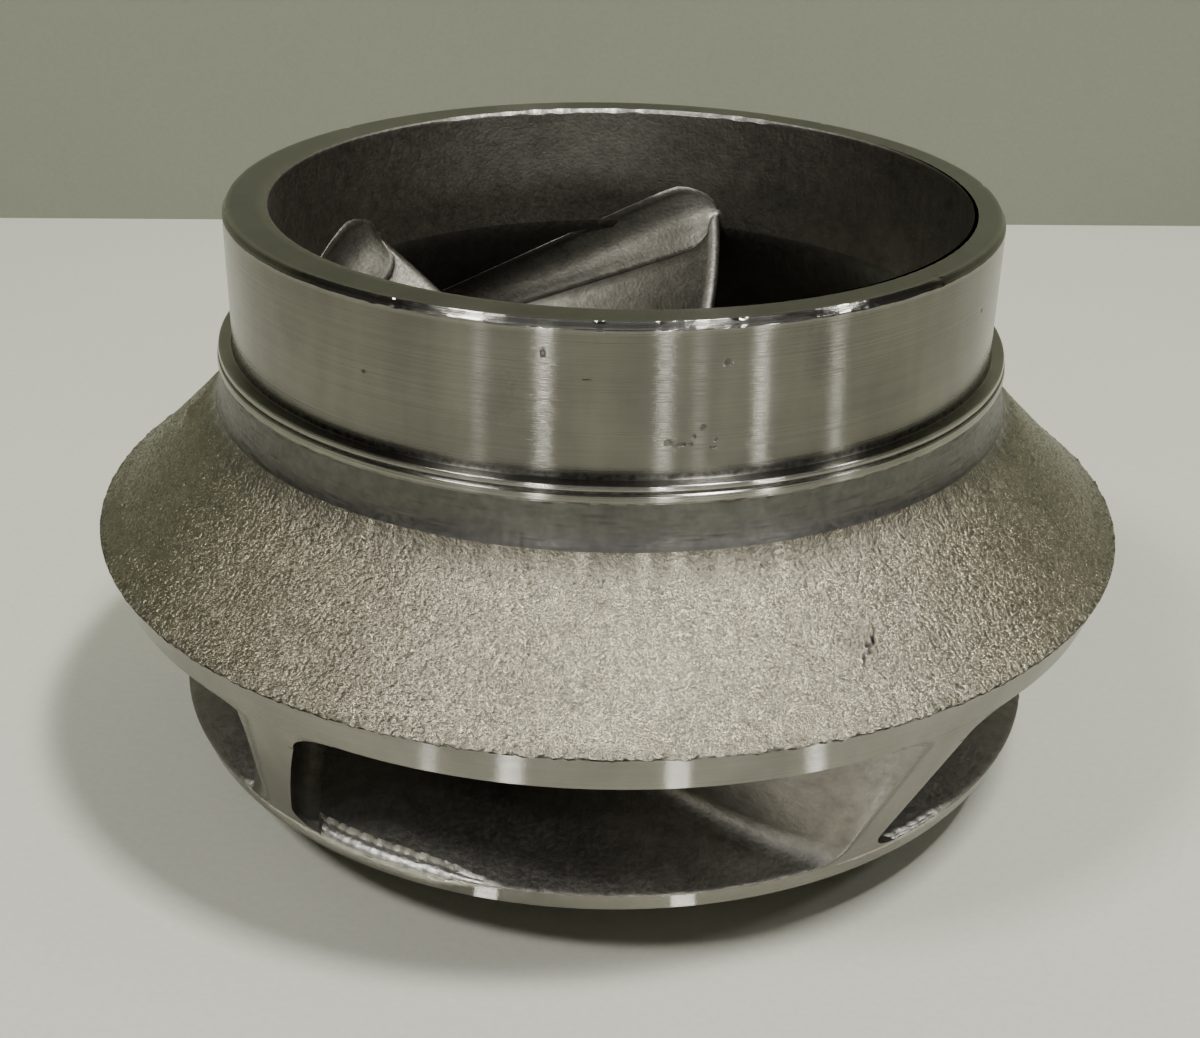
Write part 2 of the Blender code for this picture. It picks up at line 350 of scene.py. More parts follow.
def scaled(tree, vector, scale):
    return add(tree, "ShaderNodeVectorMath", {0: vector, "Scale": scale},
               operation="SCALE").outputs[0]


def named(tree, name, kind="FLOAT"):
    """A mesh attribute, read in a geometry node tree."""
    return add(tree, "GeometryNodeInputNamedAttribute", {"Name": name}, data_type=kind).outputs[0]


def moved(tree, geometry, offset):
    return add(tree, "GeometryNodeSetPosition",
               {"Geometry": geometry, "Offset": offset}).outputs[0]


def painted(tree, geometry, inputs):
    return add(tree, "GeometryNodeSetMaterial", {"Geometry": geometry, **inputs}).outputs[0]


LUMP_HEIGHT = 0.10 * MM


def cast_skin_tree():
    """Raises a sand-cast grain, and slow unevenness, where the grain attribute asks for it."""
    tree, source, sink = geometry_group("Cast skin", (
        ("Grain Height", "Float", 0.13 * MM), ("Grain Size", "Float", 0.62 * MM),
        ("Lump Height", "Float", LUMP_HEIGHT), ("Seed", "Float", 3.0),
        ("Cast", "Material", None), ("Machined", "Material", None)))
    place = add(tree, "GeometryNodeInputPosition").outputs[0]
    normal = add(tree, "GeometryNodeInputNormal").outputs[0]
    fine = {"Scale": maths(tree, "DIVIDE", 1.0, source.outputs["Grain Size"]), "Detail": 2.5,
            "Roughness": 0.6}
    slow = {"Scale": 70.0, "Detail": 2.0}
    heights = []
    for waves, label, gain in ((fine, "Grain Height", 2.4), (slow, "Lump Height", 2.0)):
        field = add(tree, "ShaderNodeTexNoise",
                    {"Vector": place, "W": source.outputs["Seed"], **waves},
                    noise_dimensions="4D").outputs[0]
        lift = maths(tree, "MULTIPLY", maths(tree, "SUBTRACT", field, 0.5), source.outputs[label])
        heights.append(maths(tree, "MULTIPLY", lift, gain))
    height = maths(tree, "MULTIPLY", maths(tree, "ADD", *heights), named(tree, "grain"))
    skin = moved(tree, source.outputs["Geometry"], scaled(tree, normal, height))
    skin = painted(tree, skin, {"Material": source.outputs["Cast"]})
    skin = painted(tree, skin, {"Selection": named(tree, "machined", "BOOLEAN"),
                                "Material": source.outputs["Machined"]})
    tree.links.new(skin, sink.inputs[0])
    return tree


def blade_ring_tree():
    """Sets one blade round the axis, and moves the blades' upper ends with the cored eye."""
    tree, source, sink = geometry_group("Blade ring", (
        ("Count", "Int", 5), ("Core Shift", "Vector", SHIFT), ("Shift Top", "Float", 0.09),
        ("Shift Foot", "Float", 0.05)))
    points = add(tree, "GeometryNodePoints", {"Count": source.outputs["Count"]})
    index = add(tree, "GeometryNodeInputIndex").outputs[0]
    turn = maths(tree, "DIVIDE", maths(tree, "MULTIPLY", index, math.tau),
                 source.outputs["Count"])
    euler = add(tree, "ShaderNodeCombineXYZ", {"Z": turn})
    rotation = add(tree, "FunctionNodeEulerToRotation", {0: euler.outputs[0]})
    blades = add(tree, "GeometryNodeInstanceOnPoints",
                 {"Points": points.outputs[0], "Instance": source.outputs["Geometry"],
                  "Rotation": rotation.outputs[0]})
    real = add(tree, "GeometryNodeRealizeInstances", {"Geometry": blades.outputs[0]}).outputs[0]
    place = add(tree, "GeometryNodeInputPosition").outputs[0]
    height = add(tree, "ShaderNodeSeparateXYZ", {0: place}).outputs["Z"]
    climb = maths(tree, "SUBTRACT", height, source.outputs["Shift Foot"])
    whole = maths(tree, "SUBTRACT", source.outputs["Shift Top"], source.outputs["Shift Foot"])
    share = maths(tree, "MULTIPLY", maths(tree, "DIVIDE", climb, whole, clamp=True),
                  named(tree, "span"))
    ring = moved(tree, real, scaled(tree, source.outputs["Core Shift"], share))
    tree.links.new(ring, sink.inputs[0])
    return tree


def keep_result(piece):
    """Keep the plain mesh that a piece's modifiers make."""
    bpy.context.view_layer.update()
    graph = bpy.context.evaluated_depsgraph_get()
    mesh = bpy.data.meshes.new_from_object(piece.evaluated_get(graph))
    piece.modifiers.clear()
    piece.data = mesh
    mesh.name = piece.name


def apply_tree(piece, tree, values):
    """Run a node tree on a piece with named values."""
    modifier = piece.modifiers.new(tree.name, "NODES")
    modifier.node_group = tree
    sockets = {item.name: item.identifier for item in tree.interface.items_tree
               if item.in_out == "INPUT"}
    for label, value in values.items():
        modifier[sockets[label]] = value
    keep_result(piece)


def group(name, make):
    return bpy.data.node_groups.get(name) or make()


def finish_cast(piece, cast, machined="machined_band_metal", share=1.0):
    """Raise the cast skin on a piece, by a share of its full height, and set the finishes."""
    apply_tree(piece, group("Cast skin", cast_skin_tree), {
        "Grain Height": sizes().grain_height * share, "Grain Size": sizes().grain_size,
        "Lump Height": LUMP_HEIGHT * share, "Cast": finish(cast), "Machined": finish(machined)})


# Shader node groups: each puts out only colours, masks and heights

def noise(tree, vector, scale, detail=2.0, roughness=0.5):
    return add(tree, "ShaderNodeTexNoise", {"Vector": vector, "Scale": scale, "Detail": detail,
                                            "Roughness": roughness}).outputs[0]


def spread(tree, value, low, high, bottom, top):
    """The value taken from low..high to bottom..top, clamped."""
    return add(tree, "ShaderNodeMapRange", {"Value": value, "From Min": low, "From Max": high,
                                            "To Min": bottom, "To Max": top}).outputs[0]


def swing(tree, field, bottom, top):
    """A noise field's usual range taken to bottom..top."""
    return spread(tree, field, 0.3, 0.7, bottom, top)


def blend(tree, factor, first, last, how="MIX"):
    node = add(tree, "ShaderNodeMix", {"Factor": factor}, data_type="RGBA", blend_type=how)
    for socket, value in ((node.inputs[6], first), (node.inputs[7], last)):
        feed(tree, socket, value if isinstance(value, bpy.types.NodeSocket) else (*value, 1.0))
    return node.outputs[2]


def shaded(tree, base, shade):
    """The base colour times a grey shade."""
    tone = add(tree, "ShaderNodeCombineXYZ", {0: shade, 1: shade, 2: shade}).outputs[0]
    return blend(tree, 1.0, base, tone, "MULTIPLY")


def cast_grain_group():
    """Fine grit of a sand-cast skin, with slow stains."""
    tree, source, sink = new_group("ShaderNodeTree", "Cast grain", (
        ("Vector", "Vector", None), ("Color", "Color", (0.33, 0.32, 0.29, 1.0)),
        ("Grit Scale", "Float", 1500.0), ("Stain", "Float", 0.25)),
        (("Color", "Color"), ("Roughness", "Float"), ("Height", "Float")))
    where = source.outputs["Vector"]
    grit = noise(tree, where, source.outputs["Grit Scale"], 3.0, 0.6)
    stain = noise(tree, where, 55.0, 4.0, 0.6)
    speck = noise(tree, where, 420.0, 2.0)
    shade = maths(tree, "MULTIPLY", swing(tree, stain, -1.0, 1.0),
                  source.outputs["Stain"])
    shade = maths(tree, "ADD", shade, swing(tree, speck, 0.86, 1.14))
    tree.links.new(shaded(tree, source.outputs["Color"], shade), sink.inputs["Color"])
    tree.links.new(swing(tree, grit, -0.08, 0.10), sink.inputs["Roughness"])
    tree.links.new(grit, sink.inputs["Height"])
    return tree


def tool_lines_group():
    """Lines that a turning tool leaves round the axis, with faint streaks and stains."""
    tree, source, sink = new_group("ShaderNodeTree", "Tool lines", (
        ("Vector", "Vector", None), ("Color", "Color", (0.3, 0.29, 0.26, 1.0)),
        ("Line Scale", "Float", 5200.0), ("Stain", "Float", 0.2)),
        (("Color", "Color"), ("Height", "Float")))
    where = source.outputs["Vector"]
    scale = add(tree, "ShaderNodeCombineXYZ", {0: 14.0, 1: 14.0, 2: source.outputs["Line Scale"]})
    lines = noise(tree, vector_maths(tree, "MULTIPLY", where, scale.outputs[0]), 1.0, 1.0, 0.6)
    grit = noise(tree, where, 1300.0, 2.0)
    smear = noise(tree, vector_maths(tree, "MULTIPLY", where, (95.0, 95.0, 16.0)), 1.0, 4.0, 0.6)
    stain = noise(tree, where, 38.0, 5.0, 0.62)
    shade = maths(tree, "ADD", swing(tree, stain, -1.0, 1.0),
                  swing(tree, smear, -0.8, 0.8))
    shade = maths(tree, "MULTIPLY_ADD", shade, source.outputs["Stain"], 1.0)
    shade = maths(tree, "ADD", shade, swing(tree, lines, -0.07, 0.07))
    tree.links.new(shaded(tree, source.outputs["Color"], shade), sink.inputs["Color"])
    height = maths(tree, "MULTIPLY_ADD", grit, 0.12, lines)
    tree.links.new(height, sink.inputs["Height"])
    return tree


def wear_group():
    """Darkens a colour by dirt and painted shade, and brightens it by rubbed edges and painted
    highlights.
    """
    tree, source, sink = new_group("ShaderNodeTree", "Wear and dirt", (
        ("Vector", "Vector", None), ("Color", "Color", (0.3, 0.29, 0.26, 1.0)),
        ("Roughness", "Float", 0.4), ("Dirt", "Float", 0.0), ("Wear", "Float", 0.0)),
        (("Color", "Color"), ("Roughness", "Float")))
    where = source.outputs["Vector"]
    patch = spread(tree, noise(tree, where, 900.0, 3.0), 0.35, 0.65, 0.78, 1.12)
    dirt = maths(tree, "MULTIPLY", source.outputs["Dirt"], patch, clamp=True)
    wear = maths(tree, "MULTIPLY", source.outputs["Wear"], patch, clamp=True)
    # Pale colour for rubbed edges and painted highlights, near-black for dirt and painted shade
    colour = blend(tree, wear, source.outputs["Color"], (0.58, 0.56, 0.51))
    colour = blend(tree, dirt, colour, (0.035, 0.033, 0.028))
    tree.links.new(colour, sink.inputs["Color"])
    rough = maths(tree, "MULTIPLY_ADD", wear, -0.12, source.outputs["Roughness"])
    rough = maths(tree, "MULTIPLY_ADD", dirt, 0.25, rough)
    tree.links.new(rough, sink.inputs["Roughness"])
    return tree


def pit_group():
    """Mask of one pit or dent: one at its place, nought past its size, with a broken outline."""
    tree, source, sink = new_group("ShaderNodeTree", "Pit", (
        ("Vector", "Vector", None), ("Place", "Vector", (0.0, 0.0, 0.0)),
        ("Size", "Vector", (0.001, 0.001, 0.001))), (("Mask", "Float"),))
    away = vector_maths(tree, "SUBTRACT", source.outputs["Vector"], source.outputs["Place"])
    reach = vector_length(tree, vector_maths(tree, "DIVIDE", away, source.outputs["Size"]))
    edge = maths(tree, "MULTIPLY_ADD", noise(tree, source.outputs["Vector"], 1500.0), 1.4, reach)
    tree.links.new(spread(tree, edge, 1.2, 1.8, 1.0, 0.0), sink.inputs["Mask"])
    return tree


def place_group(tree, name, make, inputs):
    """Place a shader node group in a material, with its inputs set or linked."""
    return add(tree, "ShaderNodeGroup", inputs, node_tree=group(name, make))


# Materials

def shader_tree(name):
    material = bpy.data.materials.new(name)
    material.use_nodes = True
    tree = material.node_tree
    return material, tree, tree.nodes["Principled BSDF"]


def mark(tree, name):
    return add(tree, "ShaderNodeAttribute", attribute_name=name).outputs["Fac"]


def worn_and_shaded_metal(tree, shader, where, colour, roughness, dirt, bump):
    """Feed the shader a metal with its dirt and painted shade, its rubbed edges and painted
    highlights, and its bump.
    """
    worn_and_shaded = place_group(tree, "Wear and dirt", wear_group, {
        "Vector": where, "Color": colour, "Roughness": roughness, "Dirt": dirt,
        "Wear": mark(tree, "wear")})
    feed(tree, shader.inputs["Base Color"], worn_and_shaded.outputs["Color"])
    feed(tree, shader.inputs["Roughness"], worn_and_shaded.outputs["Roughness"])
    feed(tree, shader.inputs["Normal"], add(tree, "ShaderNodeBump", bump).outputs[0])
    feed(tree, shader.inputs["Metallic"], 1.0)


# Radii between which the passages' skin goes from the painted shade deep inside to pale
DARK_TO_PALE = (66.0 * MM, 84.0 * MM)


def cast_metal(name, colour, roughness, bump_height, stain, dark=None):
    """Sand-cast metal, with a skin that turns to a painted shade colour towards the shaft axis."""
    material, tree, shader = shader_tree(name)
    where = add(tree, "ShaderNodeTexCoord").outputs["Object"]
    base = (*colour, 1.0)
    if dark is not None:
        # Painted shade towards the shaft axis, deep in the passages
        radius = vector_length(tree, vector_maths(tree, "MULTIPLY", where, (1.0, 1.0, 0.0)))
        base = blend(tree, spread(tree, radius, *DARK_TO_PALE, 0.0, 1.0), dark, colour)
    skin = place_group(tree, "Cast grain", cast_grain_group,
                       {"Vector": where, "Color": base, "Grit Scale": 1250.0, "Stain": stain})
    rough = maths(tree, "ADD", skin.outputs["Roughness"], roughness)
    worn_and_shaded_metal(tree, shader, where, skin.outputs["Color"], rough, mark(tree, "dirt"),
               {"Height": skin.outputs["Height"], "Strength": 0.7, "Distance": bump_height})
    return material


# Pits on the turned ring, and stains, which are wider than any pit: azimuth, rise and half sizes
RING_PITS = (
    (7.3, 40.4, 0.75, 0.55), (8.9, 40.0, 0.9, 0.3), (10.0, 40.1, 0.8, 0.35),
    (10.6, 41.3, 0.4, 0.4), (11.7, 42.8, 0.6, 0.5), (13.3, 40.6, 0.45, 0.6),
    (13.1, 39.3, 0.9, 0.25), (-8.2, 54.9, 0.5, 0.8), (14.4, 53.4, 0.9, 0.7),
    (-2.8, 50.9, 0.8, 0.12), (-33.0, 47.0, 0.6, 0.4), (62.0, 50.0, 0.6, 0.5),
    (118.0, 44.0, 0.8, 0.5), (152.0, 52.0, 0.6, 0.6), (-98.0, 46.0, 0.7, 0.4),
    (-140.0, 51.0, 1.2, 0.2), (26.5, 53.0, 2.6, 6.0), (-14.0, 47.0, 4.0, 5.0),
    (-47.0, 50.0, 5.0, 4.0), (83.0, 48.0, 5.0, 5.0), (-165.0, 46.0, 6.0, 5.0),
)
PIT_RADIUS, WIDEST_PIT = 72.4, 2.0


def turned_metal(name, colour, roughness, groove, pits=()):
    """Turned metal whose fine grooves draw each light out into an upright streak."""
    material, tree, shader = shader_tree(name)
    where = add(tree, "ShaderNodeTexCoord").outputs["Object"]
    lines = place_group(tree, "Tool lines", tool_lines_group,
                        {"Vector": where, "Color": (*colour, 1.0), "Stain": 0.16})
    dirt, height = mark(tree, "dirt"), lines.outputs["Height"]
    for azimuth, rise, wide, tall in pits:
        place = round_axis(math.radians(azimuth), PIT_RADIUS * MM, rise * MM)
        pit = place_group(tree, "Pit", pit_group, {
            "Vector": where, "Place": place,
            "Size": (wide * MM, wide * MM, tall * MM)}).outputs["Mask"]
        deep = wide < WIDEST_PIT
        dirt = maths(tree, "MULTIPLY_ADD", pit, 0.65 if deep else 0.10, dirt)
        if deep:
            height = maths(tree, "MULTIPLY_ADD", pit, -1.5, height)
    worn_and_shaded_metal(tree, shader, where, lines.outputs["Color"], roughness, dirt,
               {"Height": height, "Strength": 1.0, "Distance": groove})
    feed(tree, shader.inputs["Anisotropic"], 1.0)
    feed(tree, shader.inputs["Anisotropic Rotation"], 0.25)
    feed(tree, shader.inputs["Tangent"],
         add(tree, "ShaderNodeTangent", direction_type="RADIAL", axis="Z").outputs[0])
    return material


def plain_matt(name, colour):
    """Matt paint with a faint mottle."""
    material, tree, shader = shader_tree(name)
    where = add(tree, "ShaderNodeTexCoord").outputs["Object"]
    mottle = noise(tree, where, 700.0, 3.0)
    slow = noise(tree, where, 9.0, 3.0)
    both = maths(tree, "ADD", swing(tree, mottle, 0.97, 1.03),
                 swing(tree, slow, -0.02, 0.02))
    feed(tree, shader.inputs["Base Color"], shaded(tree, colour, both))
    feed(tree, shader.inputs["Roughness"], 0.8)
    feed(tree, shader.inputs["Specular IOR Level"], 0.1)
    return material


def finish(name):
    """One of the impeller's finishes, made when it is first asked for.

    Cast ones have a roughness, a bump height and a share of stains, turned ones a roughness and
    the depth of their grooves.
    """
    made = bpy.data.materials.get(name)
    if made:
        return made
    look = looks()
    makers = {
        "sand_cast_metal": lambda: cast_metal(name, look.cast_colour, 0.21, 0.78 * MM, 0.13),
        "neck_metal": lambda: cast_metal(name, look.neck_colour, 0.42, 0.03 * MM, 0.14),
        "cast_passage_metal": lambda: cast_metal(name, look.passage_colour, 0.48, 0.14 * MM, 0.22,
                                                 look.passage_shade_colour),
        "turned_ring_metal": lambda: turned_metal(name, look.turned_colour, 0.17, 0.035 * MM,
                                                 RING_PITS),
        "machined_band_metal": lambda: turned_metal(name, look.band_colour, 0.22, 0.04 * MM),
    }
    return makers[name]()


def mark_machined(piece, test):
    """Flag the faces whose middle passes the test of (radius, rise, normal)."""
    mesh = piece.data
    flags = []
    for face in mesh.polygons:
        middle = face.center
        flags.append(test(math.hypot(middle.x, middle.y), middle.z - RIM_Z, face.normal))
    attribute = mesh.attributes.new("machined", "BOOLEAN", "FACE")
    attribute.data.foreach_set("value", flags)


# The pieces

def core_fade(radius, rise):
    """Share of the core's shift on the inner wall, all of it up in the eye."""
    line = shroud_line(np.linspace(1.0, 0.0, 200))
    wall = np.interp(rise, line[:, 1], line[:, 0])
    if rise <= 0 or radius > wall + 0.5 * MM:
        return 0.0
    return min(1.0, rise / (COLLAR_TOP * MM))


# Burrs on the ring's outer edge: azimuth, width and depth, in degrees and millimetres
RING_NICKS = ((-31.0, 0.7, 0.30), (-27.8, 0.5, 0.26), (-1.4, 0.5, 0.42), (15.8, 0.6, 0.36),
              (6.0, 0.4, 0.18), (48.0, 0.6, 0.30), (97.0, 0.8, 0.34), (-76.0, 0.6, 0.28),
              (-128.0, 0.7, 0.32), (141.0, 0.6, 0.26))
# Where the bore's edge is broken: first and last azimuth in degrees, and width in millimetres
BROKEN_EDGE = ((153.0, 176.0, 0.7), (181.0, 197.0, 0.8), (198.0, 214.0, 0.4))


def ring_detail(rows, turns, radius, rise, marks):
    """Burrs on the outer edge, a broken inner edge, painted highlights on the chamfers and painted
    shade at the wall's foot.
    """
    size = sizes()
    from_top = (size.ring_top - rows[:, 1]) / MM
    from_side = (size.ring_radius - rows[:, 0]) / MM
    upper = (from_top < 0.25) & (from_side < 1.2)
    lower = (from_top > 0.9) & (from_top < 1.6) & (from_side < 0.25)
    bore = (rows[:, 0] < size.eye_radius + 0.6 * MM) & (from_top < 0.6)
    uneven = 0.014 * ragged(turns, 9.0, 5) + 0.006 * ragged(turns, 3.0, 6)
    nicks = sum(0.5 * depth * near(turns, azimuth, width) for azimuth, width, depth in RING_NICKS)
    radius[upper] -= (uneven + nicks) * MM
    rise[upper] -= 0.5 * nicks * MM
    rise[lower] -= (uneven * 2.0 + nicks) * MM
    zone = sum(width * span_share(turns, first, last, 3.0) for first, last, width in BROKEN_EDGE)
    chip = zone * np.clip(0.6 + 0.16 * ragged(turns, 11.0, 7) + 0.03 * ragged(turns, 3.0, 8), 0, 2)
    for row in np.nonzero(bore)[0]:
        share = np.clip(from_top[row] / 0.34, 0, 1)
        radius[row] += (1 - share) * (chip + 0.02 * ragged(turns, 5.0, 9)) * MM
        rise[row] -= (share * chip * 0.9 + (1 - share) * share * 0.5 * chip
                      + share * 0.03 * ragged(turns, 4.0, 10)) * MM
    # Painted highlight on both chamfers
    marks["wear"][upper | lower] = 0.25
    # The broken inner edge brightened: rubbed bare metal and a painted highlight
    marks["wear"][bore] = np.clip(0.2 + 0.7 * chip, 0, 0.7)
    # Painted shade in the corner at the foot of the wall
    foot = (rows[:, 1] < (JOINT_RISE + 1.3) * MM) & (from_side < 0.1)
    for row in np.nonzero(foot)[0]:
        marks["dirt"][row] = 0.62 * (1 - (rows[row, 1] / MM - JOINT_RISE) / 1.3)


def build_eye_ring():
    size = sizes()
    ring, top, eye = size.ring_radius / MM, size.ring_top / MM, size.eye_radius / MM
    corners = [
        (ring - 0.8, top, 0.12, 0.2, 0.0), (ring, top - 1.3, 0.12, 1.0, 0.0),
        (ring, top - 3.0, 0.0, 3.5, 0.0), (ring, JOINT_RISE + 1.2, 0.0, 0.3, 0.0),
        (ring, JOINT_RISE, 0.0, 3.0, 0.0),
        (eye, JOINT_RISE, 0.0, 1.0, 0.0), (eye, JOINT_RISE + 2.0, 0.0, 1.2, 0.5),
        (eye, top - 2.0, 0.0, 0.6, 0.3), (eye, top - 0.3, 0.1, 0.12, 0.0),
        (eye + 0.3, top, 0.1, 0.9, 0.0),
    ]

    def core(radius, rise):
        return 1.0 if radius < (eye + 1.0) * MM else 0.0

    piece = turned_piece("turned_eye_ring", corners, SEGMENTS, core, ring_detail)
    wall = (eye + 2.2) * MM
    mark_machined(piece, lambda radius, rise, normal: abs(normal.z) > 0.95 or radius > wall)
    finish_cast(piece, "cast_passage_metal", "turned_ring_metal", 0.6)
    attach(piece, "root")
    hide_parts("eye_ring")


# Where the cone meets the neck and the rim: radius and rise
NECK_FOOT = (76.35, 23.2)
RIM_CORNER = (99.93, 0.07)


def rim_edge(turns):
    """Height by which the edge between the cast cone and the machined rim wanders."""
    return (0.10 * ragged(turns, 6.0, 21) + 0.09 * ragged(turns, 1.6, 22)
            + 0.05 * ragged(turns, 0.8, 23)) * MM


def front_detail(rows, turns, radius, rise, marks):
    """Chipped edge under the cone, a scratched neck, painted shade in the ledge's groove and
    fillet, and a painted highlight on the ledge's lip.
    """
    level = rows[:, 1] / MM
    outer = rows[:, 0] > exit_radius(rows[:, 1]) - 0.4 * MM
    edge = outer & (np.abs(level) < 0.25)
    rise[edge] += rim_edge(turns)
    marks["dirt"][edge] = np.clip(0.75 + 0.4 * ragged(turns, 2.0, 24), 0, 1)
    # Painted shade in the groove under the ledge
    groove = (level > 32.7) & (level < 33.0) & (rows[:, 0] > 74.0 * MM)
    marks["dirt"][groove] = 0.8
    # Painted shade in the fillet at the ring's foot
    fillet = (level > 34.16) & (level < 35.1) & (rows[:, 0] > 72.0 * MM)
    marks["dirt"][fillet] = 0.85
    # Painted highlight on the ledge's lip
    lip = (level > 33.2) & (level < 34.15) & (rows[:, 0] > 74.6 * MM)
    marks["wear"][lip] = 0.2
    radius[lip] += 0.012 * ragged(turns, 12.0, 25) * MM
    neck = (level > 23.0) & (level < 31.3) & (rows[:, 0] > 74.0 * MM)
    for row in np.nonzero(neck)[0]:
        scratch = ragged(turns, 14.0, 100 + row) * np.clip(ragged(turns, 60.0, 200 + row), 0, 1)
        radius[row] += 0.035 * scratch * MM
        marks["dirt"][row] = np.clip(0.16 * scratch, 0, 0.5)
    low = (level > 23.0) & (level < 25.6) & neck
    marks["dirt"][low] += 0.4 * (near(turns, -12.5, 1.2) * np.clip(ragged(turns, 3.0, 31), 0, 1)
                                 + near(turns, -10.4, 0.8) * np.clip(ragged(turns, 2.5, 32), 0, 1))


def build_front_casting():
    """Collar, smooth neck, machined exit band and the wall inside."""
    neck = cubic(((75.3, 28.7), (75.35, 26.5), (75.6, 24.6), NECK_FOOT), np.linspace(0, 1, 12))
    corners = [
        (RING_SIDE, JOINT_RISE, 0.0, 1.0, 0.0), (RING_SIDE, 34.12, 0.9, 0.4, 0.0),
        (74.95, 34.15, 0.20, 0.5, 0.0), (75.16, 33.3, 0.18, 0.3, 0.0),
        (74.86, 33.0, 0.1, 0.3, 0.0), (74.9, 32.75, 0.1, 0.3, 0.0), (75.28, 32.5, 0.12, 0.5, 0.0),
        (75.42, 31.5, 0.3, 0.4, 0.0), (75.3, 31.1, 0.2, 0.5, 0.0),
    ]
    corners += [(radius, rise, 0.0, 0.45, 0.15) for radius, rise in neck / MM]
    corners += [(NECK_FOOT[0] - 2.0, NECK_FOOT[1] - 1.5, 0.0, 20.0, 0.0),
                (RIM_CORNER[0] - 2.5, RIM_CORNER[1] - 1.5, 0.0, 20.0, 0.0),
                (*RIM_CORNER, 0.0, 0.3, 0.0), (RIM_SIDE, -0.1, 0.05, 0.2, 0.0),
                (*exit_corner(-0.45), 0.0, 1.5, 0.0), (*exit_corner(BAND_FOOT), 0.15, 0.8, 0.0)]
    inner = shroud_line(np.linspace(0.97, 0.0, 15)) / MM
    corners += [(radius, rise, 0.0, 6.0, 0.6) for radius, rise in inner if rise < JOINT_RISE - 2.0]
    corners += [(EYE_WALL, JOINT_RISE - 1.5, 0.0, 1.5, 0.0), (EYE_WALL, JOINT_RISE, 0.0, 3.0, 0.0)]
    piece = turned_piece("front_casting", corners, BAND_SEGMENTS, core_fade, front_detail)

    def machined(radius, rise, normal):
        on_band = rise < 0.3 * MM and radius > exit_radius(rise) - 0.3 * MM
        return on_band or (rise > 31.2 * MM and radius > 72.0 * MM)

    mark_machined(piece, machined)
    finish_cast(piece, "neck_metal")
    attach(piece, "root")
    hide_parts("front_shroud")


# Marks on the cone: azimuth, radius, half width round, half height down the slope, and height
CONE_MARKS = (
    (-84.9, 82.0, 2.6, 2.2, 0.85), (-0.7, 90.2, 0.6, 0.5, -0.30), (-1.4, 90.0, 0.7, 0.4, 0.30),
    (-55.0, 88.0, 1.2, 1.0, 0.30), (33.0, 86.0, 2.4, 1.6, -0.22), (120.0, 90.0, 1.6, 1.0, 0.45),
    (-150.0, 86.0, 1.0, 2.0, -0.40), (171.0, 93.0, 2.2, 1.2, 0.35),
)
# The scar's corners: azimuth and radius
SCAR = ((29.7, 88.1), (29.0, 89.0), (28.9, 89.5), (28.0, 89.8), (28.1, 90.5), (27.2, 91.0),
        (26.8, 91.9))
# How much of a lift square to the cone's slope goes outward and upward
SLOPE_OUT, SLOPE_UP = 0.684, 0.729


def cone_detail(rows, turns, radius, rise, marks):
    """Lumps and pits, one deep scar, the chipped edge at the rim, and painted shade towards the
    neck.
    """
    place = rows[:, :1] / MM
    lift = np.zeros(radius.shape)
    for azimuth, middle, wide, tall, height in CONE_MARKS:
        around = near(turns, azimuth, math.degrees(wide / middle))
        lift += height * around * bell(place, middle, 0.73 * tall)
    for (first, inner), (last, outer) in zip(SCAR, SCAR[1:]):
        for share in np.linspace(0, 1, 7):
            azimuth, middle = first + (last - first) * share, inner + (outer - inner) * share
            cut = near(turns, azimuth, 0.16) * bell(place, middle, 0.26)
            ridge = near(turns, azimuth - 0.45, 0.16) * bell(place - middle, 0.3, 0.3)
            lift += 0.07 * ridge - 0.16 * cut
            marks["dirt"] += 0.30 * cut
            marks["wear"] += 0.16 * ridge
    marks["dirt"] += 0.35 * near(turns, 27.5, 2.2) * bell(place, 89.0, 2.4)
    np.clip(marks["dirt"], 0, 1, out=marks["dirt"])
    radius += SLOPE_OUT * lift * MM
    rise += SLOPE_UP * lift * MM
    last = (rows[:, 1] > -0.2 * MM) & (rows[:, 1] < 0.1 * MM) & (rows[:, 0] > 99.8 * MM)
    rise[last] += rim_edge(turns)
    close = (rows[:, 0] > 98.6 * MM) & (rows[:, 1] > 0)
    marks["dirt"][close] += 0.25 * np.clip(0.5 + ragged(turns, 1.8, 41), 0, 1)
    # Painted shade: the cone darker towards the neck, in ragged patches
    for row in np.nonzero((rows[:, 0] < 81.5 * MM) & (rows[:, 1] > 17.0 * MM))[0]:
        fade = np.clip((81.5 - rows[row, 0] / MM) / 5.0, 0, 1)
        patch = 0.4 + 0.25 * ((1 - fade) * ragged(turns, 9.0, 42) + fade * ragged(turns, 6.0, 43))
        marks["dirt"][row] += fade * np.clip(patch + 0.5 * (fade - 0.5), 0, 0.6)


